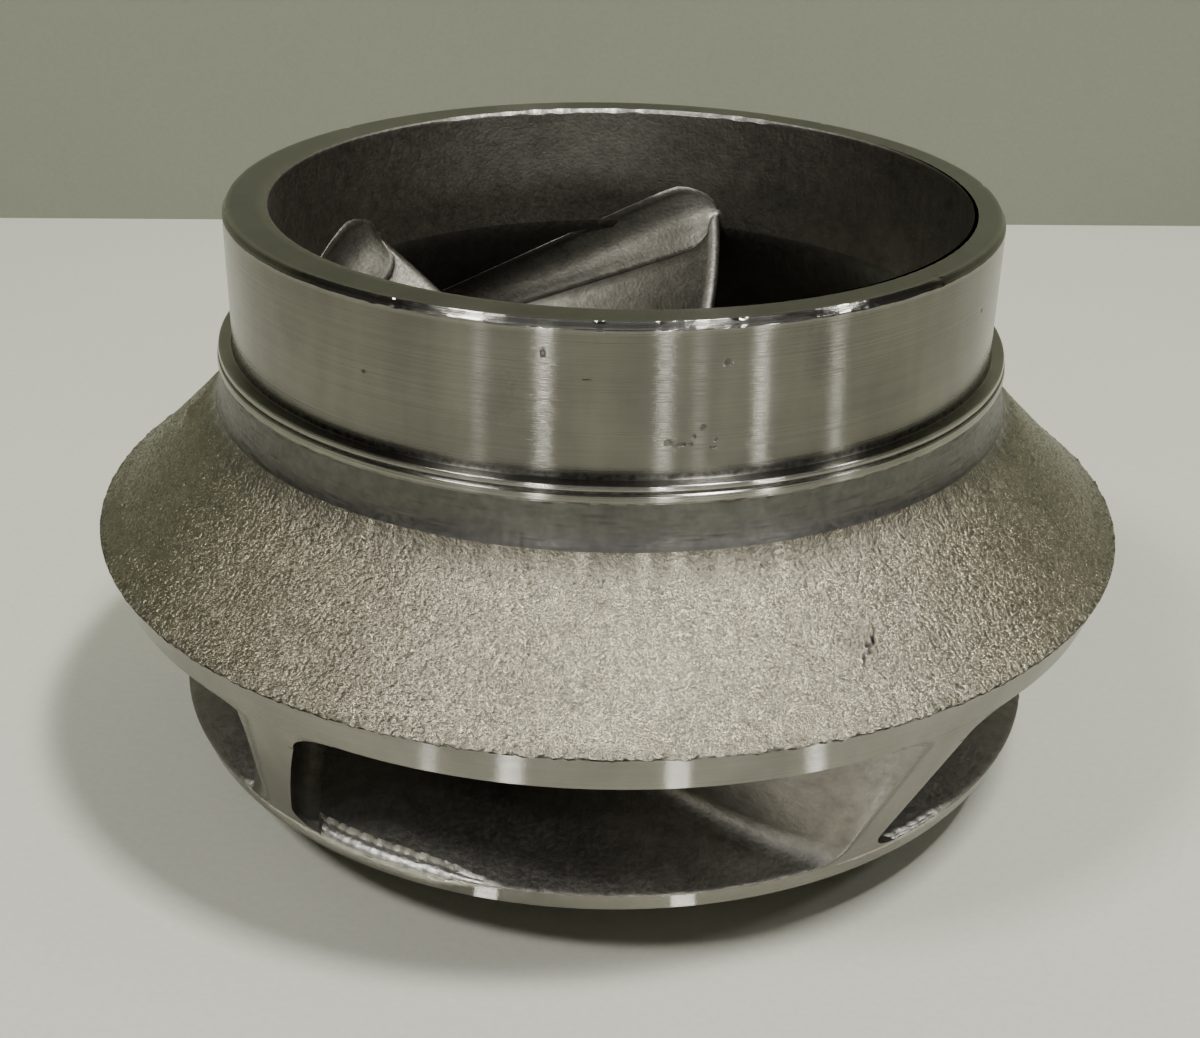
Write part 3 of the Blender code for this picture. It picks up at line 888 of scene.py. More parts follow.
def build_cast_cone():
    """The grainy cone between the neck and the rim, in three rings fine enough for its grain."""
    lead = cubic((NECK_FOOT, (76.9, 22.0), (77.8, 20.9), (80.0, 18.8)), np.linspace(0, 1, 10))
    lead = [(radius, rise, 0.0, CONE_STEP, min(1.0, 0.15 + 1.2 * index / 9))
            for index, (radius, rise) in enumerate(lead / MM)]
    shoulder, waist = (83.0, 15.69), (91.5, 7.34)
    upper = [*lead, (*shoulder, 0.0, 1.0, 1.0),
             (shoulder[0] - 1.5, shoulder[1] - 1.5, 0.0, 40.0, 0.0),
             (NECK_FOOT[0] - 0.5, NECK_FOOT[1] - 1.0, 0.0, 2.0, 0.0)]
    middle = [(*shoulder, 0.0, CONE_STEP, 1.0), (85.3, 13.3, 1.0, CONE_STEP, 1.0),
              (*waist, 0.0, 1.0, 1.0), (waist[0] - 1.5, waist[1] - 1.5, 0.0, 40.0, 0.0),
              (shoulder[0] - 1.5, shoulder[1] - 1.5, 0.0, 2.0, 1.0)]
    lower = [(*waist, 0.0, CONE_STEP, 1.0), (95.5, 3.5, 1.0, CONE_STEP, 1.0),
             (*RIM_CORNER, 0.0, 1.0, 1.0),
             (RIM_CORNER[0] - 1.6, RIM_CORNER[1] - 0.9, 0.0, 40.0, 0.0),
             (waist[0] - 1.5, waist[1] - 1.5, 0.0, 2.0, 1.0)]
    for name, corners in (("cone_upper", upper), ("cone_middle", middle), ("cone_lower", lower)):
        piece = turned_piece(name, corners, CONE_SEGMENTS, detail=cone_detail)
        mark_machined(piece, lambda radius, rise, normal: False)
        finish_cast(piece, "sand_cast_metal")
        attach(piece, "root")
        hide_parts("front_shroud")


def back_detail(rows, turns, radius, rise, marks):
    """Rolls the upper edge over where the front passage's floor meets the rim, roughens it and
    paints a highlight on it.
    """
    top, side = PASSAGE_FLOOR * MM, exit_radius(PASSAGE_FLOOR * MM)
    roll = (0.25 + 2.9 * span_share(turns, -42.0, -20.0, 9.0)
            + 0.9 * span_share(turns, 31.0, 44.0, 5.0) + 0.06 * ragged(turns, 2.5, 51)) * MM
    flat = rows[:, 1] > top - 0.02 * MM
    on_top = flat & (rows[:, 0] > side - 4.0 * MM)
    on_side = ~flat & (rows[:, 1] > top - 3.0 * MM) & (rows[:, 0] > 80 * MM)
    for row in np.nonzero(on_top | on_side)[0]:
        inward = on_top[row]
        away = side - rows[row, 0] if inward else top - rows[row, 1]
        share = np.clip((roll - away) / roll, 0, 1)
        angle = math.radians(45) * (share if inward else 2 - share)
        held = share > 0
        new_rise = top - roll + roll * np.cos(angle)
        new_radius = side - roll + roll * np.sin(angle) + sizes().exit_taper * (new_rise - top)
        radius[row] = np.where(held, new_radius, radius[row])
        rise[row] = np.where(held, new_rise, rise[row])
        rough = np.clip(roll / MM - 0.3, 0, 1)
        # Painted highlight on the rolled edge
        marks["wear"][row] = np.where(held, 0.8 * rough, 0.0)
        marks["grain"][row] = np.where(held, rough, marks["grain"][row])


# Thickness of the back shroud where it meets the hub
BACK_WEB = 11.5


def build_back_casting():
    """Curved floor of the passages, the thin machined rim at its edge and the hollow back."""
    low, split = exit_corner(PASSAGE_FLOOR)[0], floor_rise(HUB_SPLIT)
    top = hub_line(np.linspace(0.32, 1.0, 34)) / MM
    top = top[(top[:, 0] > HUB_SPLIT) & (top[:, 0] < low - 4.2)]
    under = cubic(((75.0, -38.7), (56.0, -33.5), (40.0, -25.0), (HUB_SPLIT, split - BACK_WEB)),
                  np.linspace(0, 1, 26)) / MM
    corners = [(HUB_SPLIT, split, 0.0, 1.5, 0.6)]
    corners += [(radius, rise, 0.0, 6.0, 0.6) for radius, rise in top]
    corners += [(low - 4.0, floor_rise(low - 4.0, 0.9, 200), 0.0, 0.3, 0.5),
                (low, PASSAGE_FLOOR, 0.0, 0.3, 0.0),
                (*exit_corner(BACK_CHAMFER), 0.0, 1.0, 0.0),
                (*exit_corner(BACK_FOOT), 0.15, 1.0, 0.0), (BACK_BAND, BACK_FOOT, 0.2, 0.6, 0.6)]
    corners += [(radius, rise, 0.0, 6.0, 0.8) for radius, rise in under[:-1]]
    corners += [(HUB_SPLIT, split - BACK_WEB, 0.0, 2.0, 0.0)]
    piece = turned_piece("back_casting", corners, BAND_SEGMENTS, detail=back_detail)

    def machined(radius, rise, normal):
        at_foot = rise < (BACK_FOOT + 0.2) * MM
        on_side = (rise < (PASSAGE_FLOOR - 0.4) * MM and radius > exit_radius(rise) - 0.5 * MM
                   and abs(normal.z) < 0.7)
        return radius > BACK_BAND * MM and (at_foot or on_side)

    mark_machined(piece, machined)
    finish_cast(piece, "cast_passage_metal")
    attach(piece, "root")
    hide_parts("back_shroud")


# The hub's bore, foot and nose: radii, the rise of the nose, and the keyway's width and reach
BORE, FOOT, NOSE_RISE = 16.0, 27.0, 15.0
KEY_WIDTH, KEY_REACH = 10.0, 19.3


def cut_keyway(piece):
    bpy.ops.mesh.primitive_cube_add(size=1.0)
    key = bpy.context.object
    for vertex in key.data.vertices:
        vertex.co.x *= KEY_WIDTH * MM
        vertex.co.y = (KEY_REACH if vertex.co.y > 0 else BORE / 2) * MM
        vertex.co.z = vertex.co.z * 0.12 + RIM_Z / 2
    cut = piece.modifiers.new("keyway", "BOOLEAN")
    cut.operation = "DIFFERENCE"
    cut.solver = "EXACT"
    cut.object = key
    keep_result(piece)
    bpy.data.objects.remove(key, do_unlink=True)
    piece.data.shade_smooth()
    piece.data.set_sharp_from_angle(angle=math.radians(35))


def build_hub():
    """Rounded nose, keyed bore and the boss that the impeller stands on."""
    top = [point for point in hub_line(np.linspace(0.0, 0.24, 9)) / MM
           if point[0] < HUB_SPLIT - 0.4]
    base = -RIM_Z / MM
    corners = [(BORE + 4.5, NOSE_RISE, 2.5, 1.0, 0.0)]
    corners += [(radius, rise, 0.0, 1.0, 0.3) for radius, rise in top]
    corners += [(HUB_SPLIT, floor_rise(HUB_SPLIT), 0.0, 2.0, 0.0),
                (HUB_SPLIT, base + 15.0, 0.4, 1.0, 0.2), (FOOT, base + 12.0, 1.0, 2.0, 0.2),
                (FOOT, base, 1.0, 2.0, 0.0), (BORE, base, 0.8, 2.0, 0.0),
                (BORE, NOSE_RISE, 0.5, 1.0, 0.0)]
    piece = turned_piece("keyed_hub", corners, HUB_SEGMENTS)
    mark_machined(piece,
                  lambda radius, rise, normal: rise < base * MM + 12 * MM or radius < 21 * MM)
    cut_keyway(piece)
    finish_cast(piece, "cast_passage_metal")
    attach(piece, "root")
    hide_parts("hub")


# The blade, lofted between the two wall lines with its root fillets

# Degrees that a blade wraps round, its azimuth at the exit and the lean of its end there
WRAP_AT_HUB, WRAP_AT_SHROUD = 101.0, 92.0
END_TURN, END_LEAN = 33.7, 7.0
# How far past the exit a blade is drawn before it is trimmed, and columns across its end
REACH = 1.14
CAPS = 8


def blade_surface(shares, t):
    """Middle surface of a blade at spanwise shares and places t along it: (share, t, xyz)."""
    low, high = hub_line(t), shroud_line(t)
    line = low[None] + (high - low)[None] * shares[:, None, None]
    step = np.linalg.norm(np.diff(line, axis=1), axis=2)
    mid = (line[:, 1:, 0] + line[:, :-1, 0]) / 2
    turns = np.concatenate((np.zeros((len(shares), 1)), np.cumsum(step / mid, axis=1)), axis=1)
    full = np.array([np.interp(1.0, t, row) for row in turns])
    wrap = WRAP_AT_HUB + (WRAP_AT_SHROUD - WRAP_AT_HUB) * shares
    start = END_TURN + (shares - 0.5) * END_LEAN - wrap
    azimuth = np.radians(start[:, None] + wrap[:, None] * turns / full[:, None])
    return round_axis(azimuth, line[..., 0], line[..., 1])


def unit(vectors):
    return vectors / np.linalg.norm(vectors, axis=-1, keepdims=True)


def on_wall(points, wall, sink=0.0):
    """Nearest places on a wall of revolution given by its line, sunk a little into it."""
    t = np.linspace(-0.15, 1.25, 1400)
    line = wall(t)
    tangent = np.gradient(line, axis=0)
    outward = unit(np.stack((-tangent[:, 1], tangent[:, 0]), -1))
    flat = points.reshape(-1, 3)
    radius = np.hypot(flat[:, 0], flat[:, 1])
    place = np.stack((radius, flat[:, 2] - RIM_Z), -1)
    nearest = np.argmin(((place[:, None] - line[None]) ** 2).sum(-1), axis=1)
    new = line[nearest] + outward[nearest] * np.reshape(sink, (-1, 1))
    turn = np.arctan2(flat[:, 0], -flat[:, 1])
    return round_axis(turn, new[:, 0], new[:, 1]).reshape(points.shape)


def wall_normals(points, wall):
    return unit(on_wall(points, wall, 1.0 * MM) - on_wall(points, wall))


def blade_contours(shares, places, nose_steps):
    """Closed-nose contours round the blade: middles, outward directions and half thicknesses."""
    fine = np.linspace(0, REACH, 600)
    surface = blade_surface(shares, fine)
    along = unit(np.gradient(surface, axis=1))
    across = unit(np.gradient(surface, axis=0))
    side = unit(np.cross(across, along))

    def at(grid, t):
        return np.stack([[np.interp(t, fine, row[:, axis]) for axis in range(3)]
                         for row in grid]).transpose(0, 2, 1)

    half = (sizes().vane_nose + (sizes().vane_end - sizes().vane_nose) * places) / 2
    middles, sides, forward = at(surface, places), at(side, places), -at(along, places[:1])
    angles = np.linspace(-math.pi / 2, math.pi / 2, nose_steps + 1)[1:-1]
    nose_out = (np.cos(angles)[None, :, None] * forward * 1.25
                + np.sin(angles)[None, :, None] * sides[:, :1])
    nose_middle = np.repeat(middles[:, :1], len(angles), axis=1)
    out = np.concatenate((-sides[:, ::-1], nose_out, sides), axis=1)
    middle = np.concatenate((middles[:, ::-1], nose_middle, middles), axis=1)
    halves = np.concatenate((half[::-1], np.full(len(angles), half[0]), half))
    return middle, out, halves


def fillet_radii(table, places, nose_steps):
    """Fillet radius at each station, from (back at exit, back, nose, front, front at exit)."""
    back_exit, back, nose, front, front_exit = table
    grow = np.clip((places - places[0]) / 0.05, 0, 1)
    grow = grow * (2 - grow)
    ease = np.clip(places, 0, 1)
    first_back, first_front = nose + 0.55 * (back - nose), nose + 0.60 * (front - nose)
    back_side = (first_back + (back - first_back) * grow) * (1 - ease) + back_exit * ease
    front_side = (first_front + (front - first_front) * grow) * (1 - ease) + front_exit * ease
    angles = np.linspace(-1, 1, nose_steps + 1)[1:-1]
    lower = nose + (first_back - nose) * np.clip((-angles - 0.45) / 0.55, 0, 1) ** 1.5
    upper = nose + (first_front - nose) * np.clip((angles - 0.45) / 0.55, 0, 1) ** 1.5
    bow = np.where(angles < 0, lower, upper)
    return np.concatenate((back_side[::-1], bow, front_side)) * MM


def root_rows(body, middle, out, halves, radii, wall, steps, sink, roll):
    """Rows that sweep from the blade's side down to the wall, and just under it.

    roll is the size in metres, at each station, of the rounded roll along the blade's side, of
    the crease beside it and of the sharp ridge along the fillet's foot.
    """
    corner = on_wall(middle + out * halves[:, None], wall)
    normal = wall_normals(corner, wall)
    away = unit(out - (out * normal).sum(-1, keepdims=True) * normal)
    foot = on_wall(corner + away * radii[:, None], wall)
    inside = normal * (-1.0 if sink > 0 else 1.0)
    rows = []
    for step in range(steps + 1):
        t = (step / steps) ** 1.3
        first, last = body + (corner - body) * 0.5523, foot + (corner - foot) * 0.5523
        row = ((1 - t) ** 3 * body + 3 * t * (1 - t) ** 2 * first
               + 3 * t * t * (1 - t) * last + t ** 3 * foot)
        crest = bell(t, 0.24, 0.17) - 0.75 * bell(t, 0.0, 0.03) + 0.6 * bell(t, 0.955, 0.05)
        lift = unit(out * (1 - t) + inside * t)
        rows.append(row + lift * (roll * crest)[:, None])
    under = on_wall(foot + away * 0.3 * MM, wall, sink)
    return rows[1:] + [under]


def trim_to_exit(line, keep):
    """The line's first part, up to the exit cone, as the same number of stations."""
    beyond = np.hypot(line[:, 0], line[:, 1]) - exit_radius(line[:, 2] - RIM_Z)
    over = np.nonzero(beyond > 0)[0]
    if len(over) == 0:
        raise RuntimeError("a blade's row never reaches the exit")
    last = over[0]
    share = beyond[last - 1] / (beyond[last - 1] - beyond[last])
    end = line[last - 1] + (line[last] - line[last - 1]) * share
    kept = np.vstack((line[:last], end))
    steps = np.linalg.norm(np.diff(kept, axis=0), axis=1)
    along = np.concatenate(([0], np.cumsum(steps)))
    stops = np.linspace(0, 1, keep) * along[-1]
    return np.column_stack([np.interp(stops, along, column) for column in kept.T])


def body_row(body, shares, place):
    """Points of the blade's side at a spanwise place of each station."""
    return np.stack([[np.interp(place[station], shares, body[:, station, axis])
                      for axis in range(3)] for station in range(body.shape[1])])


def build_blade():
    """One blade with its fillets, trimmed flush with the exit cone: grid, spans and layout."""
    nose_steps, hub_steps, eye_steps, body_rows, stations = 16, 8, 22, 14, 60
    shares = np.linspace(0, 1, 25)
    places = np.concatenate((np.linspace(0.010, 0.10, 20)[:-1], np.linspace(0.10, REACH, 64)))
    middle, out, halves = blade_contours(shares, places, nose_steps)
    hub_radii = fillet_radii((3.5, 4.0, 1.5, 4.0, 5.0), places, nose_steps)
    eye_radii = fillet_radii((4.0, 4.5, 1.1, 8.0, 4.0), places, nose_steps)
    roll = np.clip((eye_radii / MM - 4.6) / 3.4, 0, 1) * 0.62 * MM
    roll[:len(places)] = 0.0
    body = middle + out * halves[None, :, None]
    span = np.linalg.norm(np.diff(middle, axis=0), axis=2).sum(0)
    low, high = hub_radii * 1.05 / span, 1 - eye_radii * 1.05 / span
    rows = []
    for row in range(body_rows + 1):
        place = low + (high - low) * row / body_rows
        rows.append(body_row(body, shares, place))
    rows.insert(-1, body_row(body, shares, high - 0.4 * MM / span))
    hub_rows = root_rows(rows[0], middle[0], out[0], halves, hub_radii, hub_line,
                         hub_steps, -0.5 * MM, np.zeros_like(roll))
    eye_rows = root_rows(rows[-1], middle[-1], out[-1], halves, eye_radii, shroud_line,
                         eye_steps, 0.5 * MM, roll)
    rows[-1] = rows[-1] - out[-1] * (roll * 0.7)[:, None]
    rows = hub_rows[::-1] + rows + eye_rows
    spans = np.concatenate((np.zeros(len(hub_rows)), np.linspace(0, 1, body_rows + 1), [1.0],
                            np.ones(len(eye_rows))))
    count = len(places)
    grid = []
    for row in rows:
        back = trim_to_exit(row[:count][::-1], stations)
        front = trim_to_exit(row[count + nose_steps - 1:], stations)
        bow = row[count:count + nose_steps - 1]
        grid.append(np.concatenate((back[::-1], bow, front)))
    grid = np.array(grid)
    ends, starts = grid[:, -1], grid[:, 0]
    bands = []
    for step in range(1, CAPS):
        share = step / CAPS
        turn = (np.arctan2(ends[:, 0], -ends[:, 1]) * (1 - share)
                + np.arctan2(starts[:, 0], -starts[:, 1]) * share)
        rise = (ends[:, 2] * (1 - share) + starts[:, 2] * share) - RIM_Z
        bands.append(round_axis(turn, exit_radius(rise) + 0.012 * MM, rise))
    grid = np.concatenate((grid, np.array(bands).transpose(1, 0, 2)), axis=1)
    return grid, spans, (stations, nose_steps - 1, len(hub_rows) + body_rows + 1, eye_steps)


def blade_marks(rows, columns, layout):
    """Painted shade in the crease and the hollow of the long fillet, painted highlights on the
    nose and the ridge, and darker edges at the blade's end.
    """
    stations, bow, crease, eye_steps = layout
    dirt, wear = np.zeros((rows, columns)), np.zeros((rows, columns))
    # Painted highlight along the nose
    wear += 0.18 * bell(np.arange(columns) - stations, bow / 2, bow * 0.42)
    front = np.arange(columns) >= stations + bow - 2
    front[columns - CAPS + 1:] = False
    step = (np.arange(rows) - crease) / eye_steps
    t = np.sign(step) * np.abs(step) ** 1.3
    # Painted shade in the fillet's hollow, and a dark line of painted shade along its crease
    hollow = 0.5 * bell(t, 0.70, 0.18) + (np.arange(rows) == crease)
    # Painted highlight along the ridge at the fillet's foot
    ridge = 0.45 * bell(t, 0.965, 0.035)
    fade = np.clip((np.arange(columns) - stations - bow) / (0.5 * stations), 0, 1)
    dirt[:, front] += hollow[:, None]
    wear[:, front] += ridge[:, None] * (1 - fade[front])
    # Darker along the two edges of the blade's end
    dirt[:, -CAPS - 1] = dirt[:, -1] = np.maximum(dirt[:, -1], 0.35)
    return {"dirt": np.clip(dirt, 0, 1), "wear": np.clip(wear, 0, 1)}


def build_vanes():
    """The ring of blades, from one blade as a closed mesh."""
    grid, spans, layout = build_blade()
    rows, columns = grid.shape[:2]
    index = np.arange(rows * columns).reshape(rows, columns)
    onward = np.roll(index, -1, axis=1)
    faces = np.stack((index[:-1], onward[:-1], onward[1:], index[1:]), -1).reshape(-1, 4).tolist()
    faces.append(index[0, ::-1].tolist())
    faces.append(index[-1].tolist())
    piece = new_piece("vanes", grid.reshape(-1, 3), faces)
    mesh = piece.data
    column = np.tile(np.arange(columns), rows)
    at_end = (column >= columns - CAPS) | (column == 0)
    put_attributes(mesh, {"span": np.repeat(spans, columns), "grain": np.where(at_end, 0.0, 0.5),
                          "end": at_end * 1.0, **blade_marks(rows, columns, layout)})
    sheet = bmesh.new()
    sheet.from_mesh(mesh)
    bmesh.ops.triangulate(sheet, faces=[face for face in sheet.faces if len(face.verts) > 4])
    bmesh.ops.recalc_face_normals(sheet, faces=sheet.faces)
    if sheet.calc_volume(signed=True) < 0:
        bmesh.ops.reverse_faces(sheet, faces=sheet.faces)
    sheet.to_mesh(mesh)
    sheet.free()
    ends = mesh.attributes["end"].data
    flags = [all(ends[vertex].value > 0.5 for vertex in face.vertices) for face in mesh.polygons]
    machined = mesh.attributes.new("machined", "BOOLEAN", "FACE")
    machined.data.foreach_set("value", flags)
    mesh.shade_smooth()
    mesh.set_sharp_from_angle(angle=math.radians(50))
    apply_tree(piece, group("Blade ring", blade_ring_tree), {
        "Count": sizes().vane_count, "Core Shift": SHIFT,
        "Shift Top": RIM_Z + COLLAR_TOP * MM, "Shift Foot": RIM_Z})
    finish_cast(piece, "cast_passage_metal", share=0.6)
    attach(piece, "root")
    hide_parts("vane_1", "vane_2", "vane_3", "vane_4", "vane_5")


# The stage, lights and camera

# Half size of the floor, distance of the wall behind, and how far the wall stands askew
REACH_OF_FLOOR, WALL_AWAY, WALL_SLANT = 3.0, 0.355, 0.0457


def build_stage():
    """Pale floor and grey wall; the wall is see-through from its back, for views from behind."""
    look, far = looks(), REACH_OF_FLOOR
    floor = new_piece("floor", [(-far, -far, 0), (far, -far, 0), (far, far, 0), (-far, far, 0)],
                      [(0, 1, 2, 3)], [plain_matt("pale_floor", look.floor_colour)])
    paint = plain_matt("grey_wall", look.wall_colour)
    tree = paint.node_tree
    behind = add(tree, "ShaderNodeNewGeometry").outputs["Backfacing"]
    feed(tree, tree.nodes["Principled BSDF"].inputs["Alpha"],
         maths(tree, "SUBTRACT", 1.0, behind))
    left, right = (-far, WALL_AWAY - far * WALL_SLANT), (far, WALL_AWAY + far * WALL_SLANT)
    wall = new_piece("backdrop", [(*left, 0), (*right, 0), (*right, far), (*left, far)],
                     [(0, 1, 2, 3)], [paint])


def new_lamp(name, size, power, placement):
    """Rectangular lamp that the camera doesn't see."""
    data = bpy.data.lights.new(name, "AREA")
    data.shape = "RECTANGLE"
    data.size, data.size_y = size
    data.energy = power
    lamp = bpy.data.objects.new(name, data)
    bpy.context.scene.collection.objects.link(lamp)
    lamp.matrix_world = placement
    lamp.visible_camera = False
    return lamp


def add_light(name, azimuth, elevation, distance, size, power, on_matt):
    """Lamp aimed at the impeller from an azimuth (from -Y towards +X) and elevation."""
    turn, climb = math.radians(azimuth), math.radians(elevation)
    away = Vector((math.sin(turn) * math.cos(climb), -math.cos(turn) * math.cos(climb),
                   math.sin(climb)))
    placement = (Matrix.Translation(Vector((0.0, 0.0, 0.08)) + away * distance)
                 @ (-away).to_track_quat("-Z", "Y").to_matrix().to_4x4())
    new_lamp(name, size, power, placement).visible_diffuse = on_matt


# name, azimuth, elevation, distance, size, power, whether matt surfaces get its light
LIGHTS = (
    ("key_right", 52.0, 67.0, 1.5, (0.22, 0.20), 17.5, True),
    ("key_left", -52.0, 52.0, 1.6, (0.34, 0.24), 10.5, True),
    ("side_right", 80.0, 42.0, 1.8, (0.30, 0.10), 2.2, True),
    ("strip", 0.0, 43.0, 2.0, (5.0, 0.50), 5.0, False),
    ("front_fill", 0.0, 12.0, 2.0, (3.0, 0.50), 1.3, False),
    ("low_left", -18.0, 8.0, 2.0, (0.04, 0.10), 4.0, False),
    ("low_middle", 14.9, 8.0, 2.0, (0.05, 0.10), 4.0, False),
    ("low_right", 41.9, 8.0, 2.0, (0.04, 0.10), 4.0, False),
    ("wide_left", -41.0, 37.0, 1.8, (0.16, 0.08), 2.4, False),
    ("wide_middle", 27.8, 37.0, 1.8, (0.16, 0.08), 2.4, False),
    ("wide_right", 75.7, 37.0, 1.8, (0.12, 0.08), 4.0, False),
)
# Strips of light on the floor, seen from the camera only as upright streaks on a turned face:
# azimuth, lowest and highest rise on the face, width and brightness; the last six are on bands
STREAKS = (
    (-16.4, 31.0, 60.0, 12.0, 0.22), (-8.15, 31.0, 60.0, 3.6, 3.0), (6.75, 31.0, 60.0, 3.6, 2.2),
    (11.1, 31.0, 60.0, 12.0, 0.22), (19.1, 31.0, 60.0, 3.6, 3.0), (30.0, 31.0, 60.0, 5.0, 1.2),
    (-15.9, -6.8, -1.0, 4.0, 1.0), (-8.2, -6.8, -0.4, 6.0, 2.0), (6.8, -6.8, -0.4, 6.0, 2.0),
    (19.8, -6.8, -0.4, 5.0, 1.6), (-13.0, -40.0, -37.0, 5.0, 1.6), (9.5, -40.0, -37.0, 5.0, 1.4),
)
STREAK_RADIANCE = 9.0
STREAK_RISE = 1.0 * MM


def mirrored_spot(azimuth, radius, rise, droop):
    """Place on the floor that the camera sees mirrored in a turned face, drooping from upright."""
    turn = math.radians(azimuth)
    across = Vector((math.sin(turn), -math.cos(turn), 0.0))
    place = across * radius + Vector((0.0, 0.0, RIM_Z + rise))
    normal = across * math.cos(droop) - Vector((0.0, 0.0, math.sin(droop)))
    bounce = (place - Vector(CAMERA_PLACE)).normalized().reflect(normal)
    return place + bounce * ((place.z - STREAK_RISE) / -bounce.z)


def add_streak(azimuth, lowest, highest, width, share):
    """Strip lamp lying on the floor where the camera's view of a turned face is mirrored."""
    on_ring = lowest > 0
    droop = 0.0 if on_ring else math.atan(sizes().exit_taper)
    ends = []
    for rise in (lowest * MM, highest * MM):
        radius = sizes().ring_radius if on_ring else exit_radius(rise)
        ends.append(mirrored_spot(azimuth, radius, rise, droop))
    along = ends[1] - ends[0]
    forward, down = along.normalized(), Vector((0.0, 0.0, -1.0))
    turn = Matrix((forward.cross(down), forward, down)).transposed().to_4x4()
    size = width * MM, along.length
    power = math.pi * STREAK_RADIANCE * share * size[0] * size[1]
    lamp = new_lamp("streak", size, power, Matrix.Translation((ends[0] + ends[1]) / 2) @ turn)
    lamp.visible_diffuse = False


# Strength of the world, and what reflections and the camera see on top of it
WORLD, WORLD_IN_GLOSS, WORLD_IN_CAMERA = 0.055, 0.035, 0.40


def build_lights():
    for light in LIGHTS:
        add_light(*light)
    for streak in STREAKS:
        add_streak(*streak)
    world = bpy.data.worlds.new("studio")
    world.use_nodes = True
    tree = world.node_tree
    sky = tree.nodes["Background"]
    path = add(tree, "ShaderNodeLightPath")
    strength = maths(tree, "MULTIPLY_ADD", path.outputs["Is Glossy Ray"], WORLD_IN_GLOSS, WORLD)
    strength = maths(tree, "MULTIPLY_ADD", path.outputs["Is Camera Ray"], WORLD_IN_CAMERA,
                     strength)
    feed(tree, sky.inputs[0], (0.8, 0.82, 0.8, 1.0))
    feed(tree, sky.inputs[1], strength)
    bpy.context.scene.world = world


# The camera as fitted to the photo's circles: place, turns in degrees, and focal length as a
# share of the picture's width
CAMERA_PLACE = (0.0, -0.31877, 0.20263)
YAW, PITCH, ROLL = -0.27, 26.48, 1.08
FOCAL_SHARE = 1730.36 / 1200
SENSOR_WIDTH = 36.0


def build_camera():
    yaw, pitch, roll = math.radians(YAW), math.radians(PITCH), math.radians(ROLL)
    forward = Vector((math.sin(yaw) * math.cos(pitch), math.cos(yaw) * math.cos(pitch),
                      -math.sin(pitch)))
    right = Vector((math.cos(yaw), -math.sin(yaw), 0.0))
    up = right.cross(forward)
    right, up = (right * math.cos(roll) + up * math.sin(roll),
                 up * math.cos(roll) - right * math.sin(roll))
    data = bpy.data.cameras.new("camera")
    data.sensor_fit = "HORIZONTAL"
    data.sensor_width = SENSOR_WIDTH
    data.lens = FOCAL_SHARE * SENSOR_WIDTH
    data.clip_start = 0.01
    camera = bpy.data.objects.new("camera", data)
    bpy.context.scene.collection.objects.link(camera)
    turn = Matrix((right, up, -forward)).transposed().to_4x4()
    turn.translation = CAMERA_PLACE
    camera.matrix_world = turn
    bpy.context.scene.camera = camera


# Operators, panel and registration

class BuildStep:
    """An operator that runs its own build function."""

    def execute(self, context):
        self.build()
        return {"FINISHED"}


class IMPELLER_OT_eye_ring(BuildStep, bpy.types.Operator):
    """Build the turned eye ring"""
    bl_idname = "impeller.eye_ring"
    bl_label = "Eye ring"
    build = staticmethod(build_eye_ring)


class IMPELLER_OT_front_casting(BuildStep, bpy.types.Operator):
    """Build the front casting: collar, neck, machined rim band and the wall inside"""
    bl_idname = "impeller.front_casting"
    bl_label = "Front casting"
    build = staticmethod(build_front_casting)


class IMPELLER_OT_cast_cone(BuildStep, bpy.types.Operator):
    """Build the grainy cone of the front shroud"""
    bl_idname = "impeller.cast_cone"
    bl_label = "Cast cone"
    build = staticmethod(build_cast_cone)


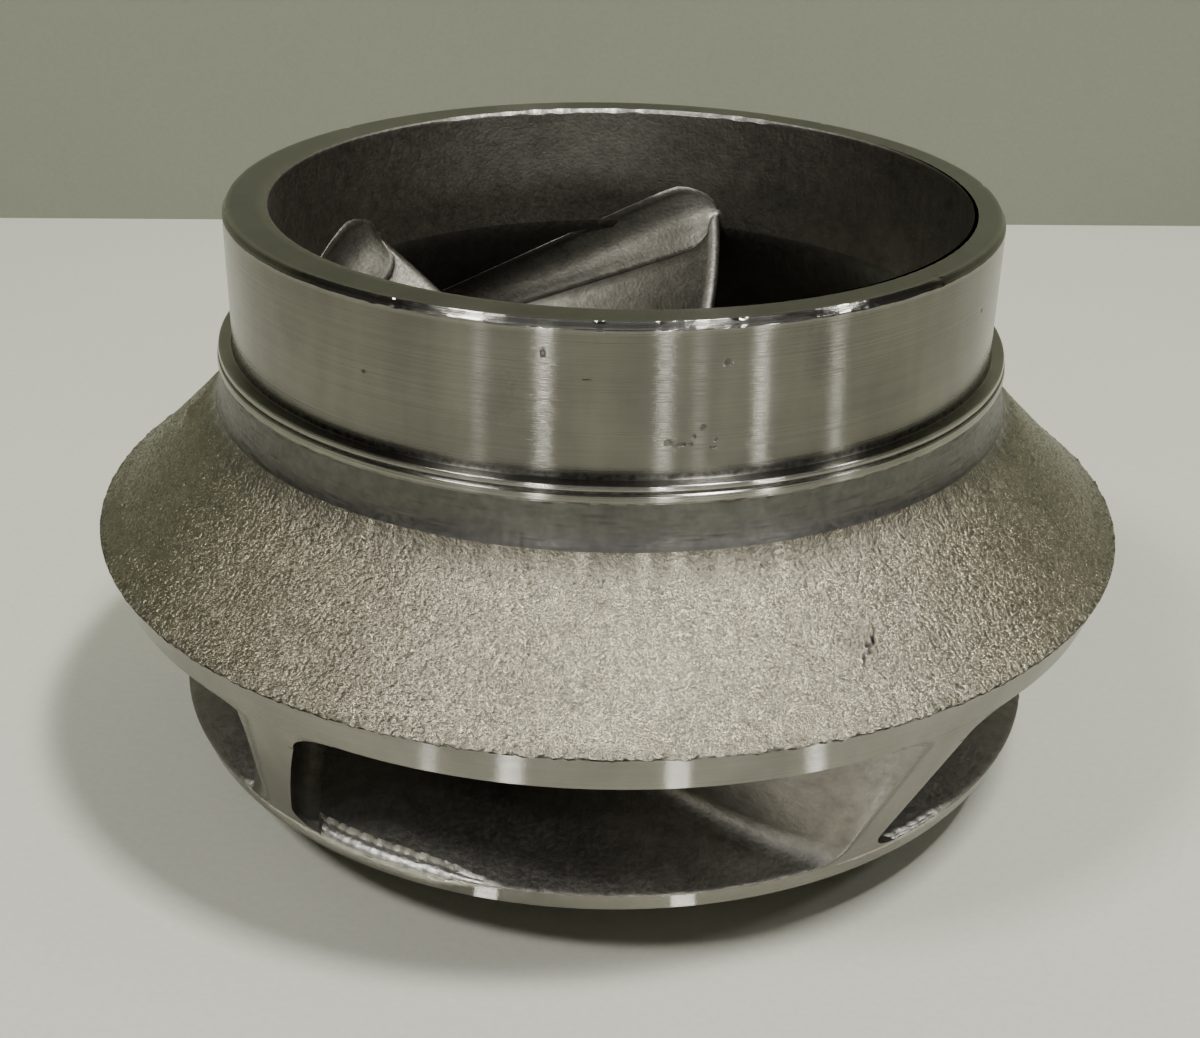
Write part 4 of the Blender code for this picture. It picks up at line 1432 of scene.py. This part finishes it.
class IMPELLER_OT_vanes(BuildStep, bpy.types.Operator):
    """Build the ring of swept vanes with their root fillets"""
    bl_idname = "impeller.vanes"
    bl_label = "Vanes"
    build = staticmethod(build_vanes)


class IMPELLER_OT_back_casting(BuildStep, bpy.types.Operator):
    """Build the back shroud with its machined rim"""
    bl_idname = "impeller.back_casting"
    bl_label = "Back casting"
    build = staticmethod(build_back_casting)


class IMPELLER_OT_hub(BuildStep, bpy.types.Operator):
    """Build the hub with its nose, keyed bore and foot"""
    bl_idname = "impeller.hub"
    bl_label = "Hub"
    build = staticmethod(build_hub)


class IMPELLER_OT_stage(BuildStep, bpy.types.Operator):
    """Set the floor, the backdrop, the lights and the camera"""
    bl_idname = "impeller.stage"
    bl_label = "Stage"

    @staticmethod
    def build():
        build_camera()
        build_stage()
        build_lights()


OPERATORS = (IMPELLER_OT_stage, IMPELLER_OT_eye_ring, IMPELLER_OT_front_casting,
             IMPELLER_OT_cast_cone, IMPELLER_OT_vanes, IMPELLER_OT_back_casting, IMPELLER_OT_hub)


class IMPELLER_PT_panel(bpy.types.Panel):
    """The impeller's sizes, colours and pieces"""
    bl_label = "Pump impeller"
    bl_idname = "IMPELLER_PT_panel"
    bl_space_type = "VIEW_3D"
    bl_region_type = "UI"
    bl_category = "Impeller"

    def draw(self, context):
        layout = self.layout
        for settings in (context.scene.impeller_sizes, context.scene.impeller_looks):
            for name in settings.__annotations__:
                layout.prop(settings, name)
        for operator in OPERATORS:
            layout.operator(operator.bl_idname)


CLASSES = (ImpellerSizes, ImpellerLooks, *OPERATORS, IMPELLER_PT_panel)


def register():
    for cls in CLASSES:
        bpy.utils.register_class(cls)
    bpy.types.Scene.impeller_sizes = bpy.props.PointerProperty(type=ImpellerSizes)
    bpy.types.Scene.impeller_looks = bpy.props.PointerProperty(type=ImpellerLooks)


def unregister():
    del bpy.types.Scene.impeller_looks
    del bpy.types.Scene.impeller_sizes
    for cls in reversed(CLASSES):
        bpy.utils.unregister_class(cls)


def main():
    register()
    for operator in OPERATORS:
        group_name, name = operator.bl_idname.split(".")
        getattr(getattr(bpy.ops, group_name), name)()


if __name__ == "__main__":
    main()
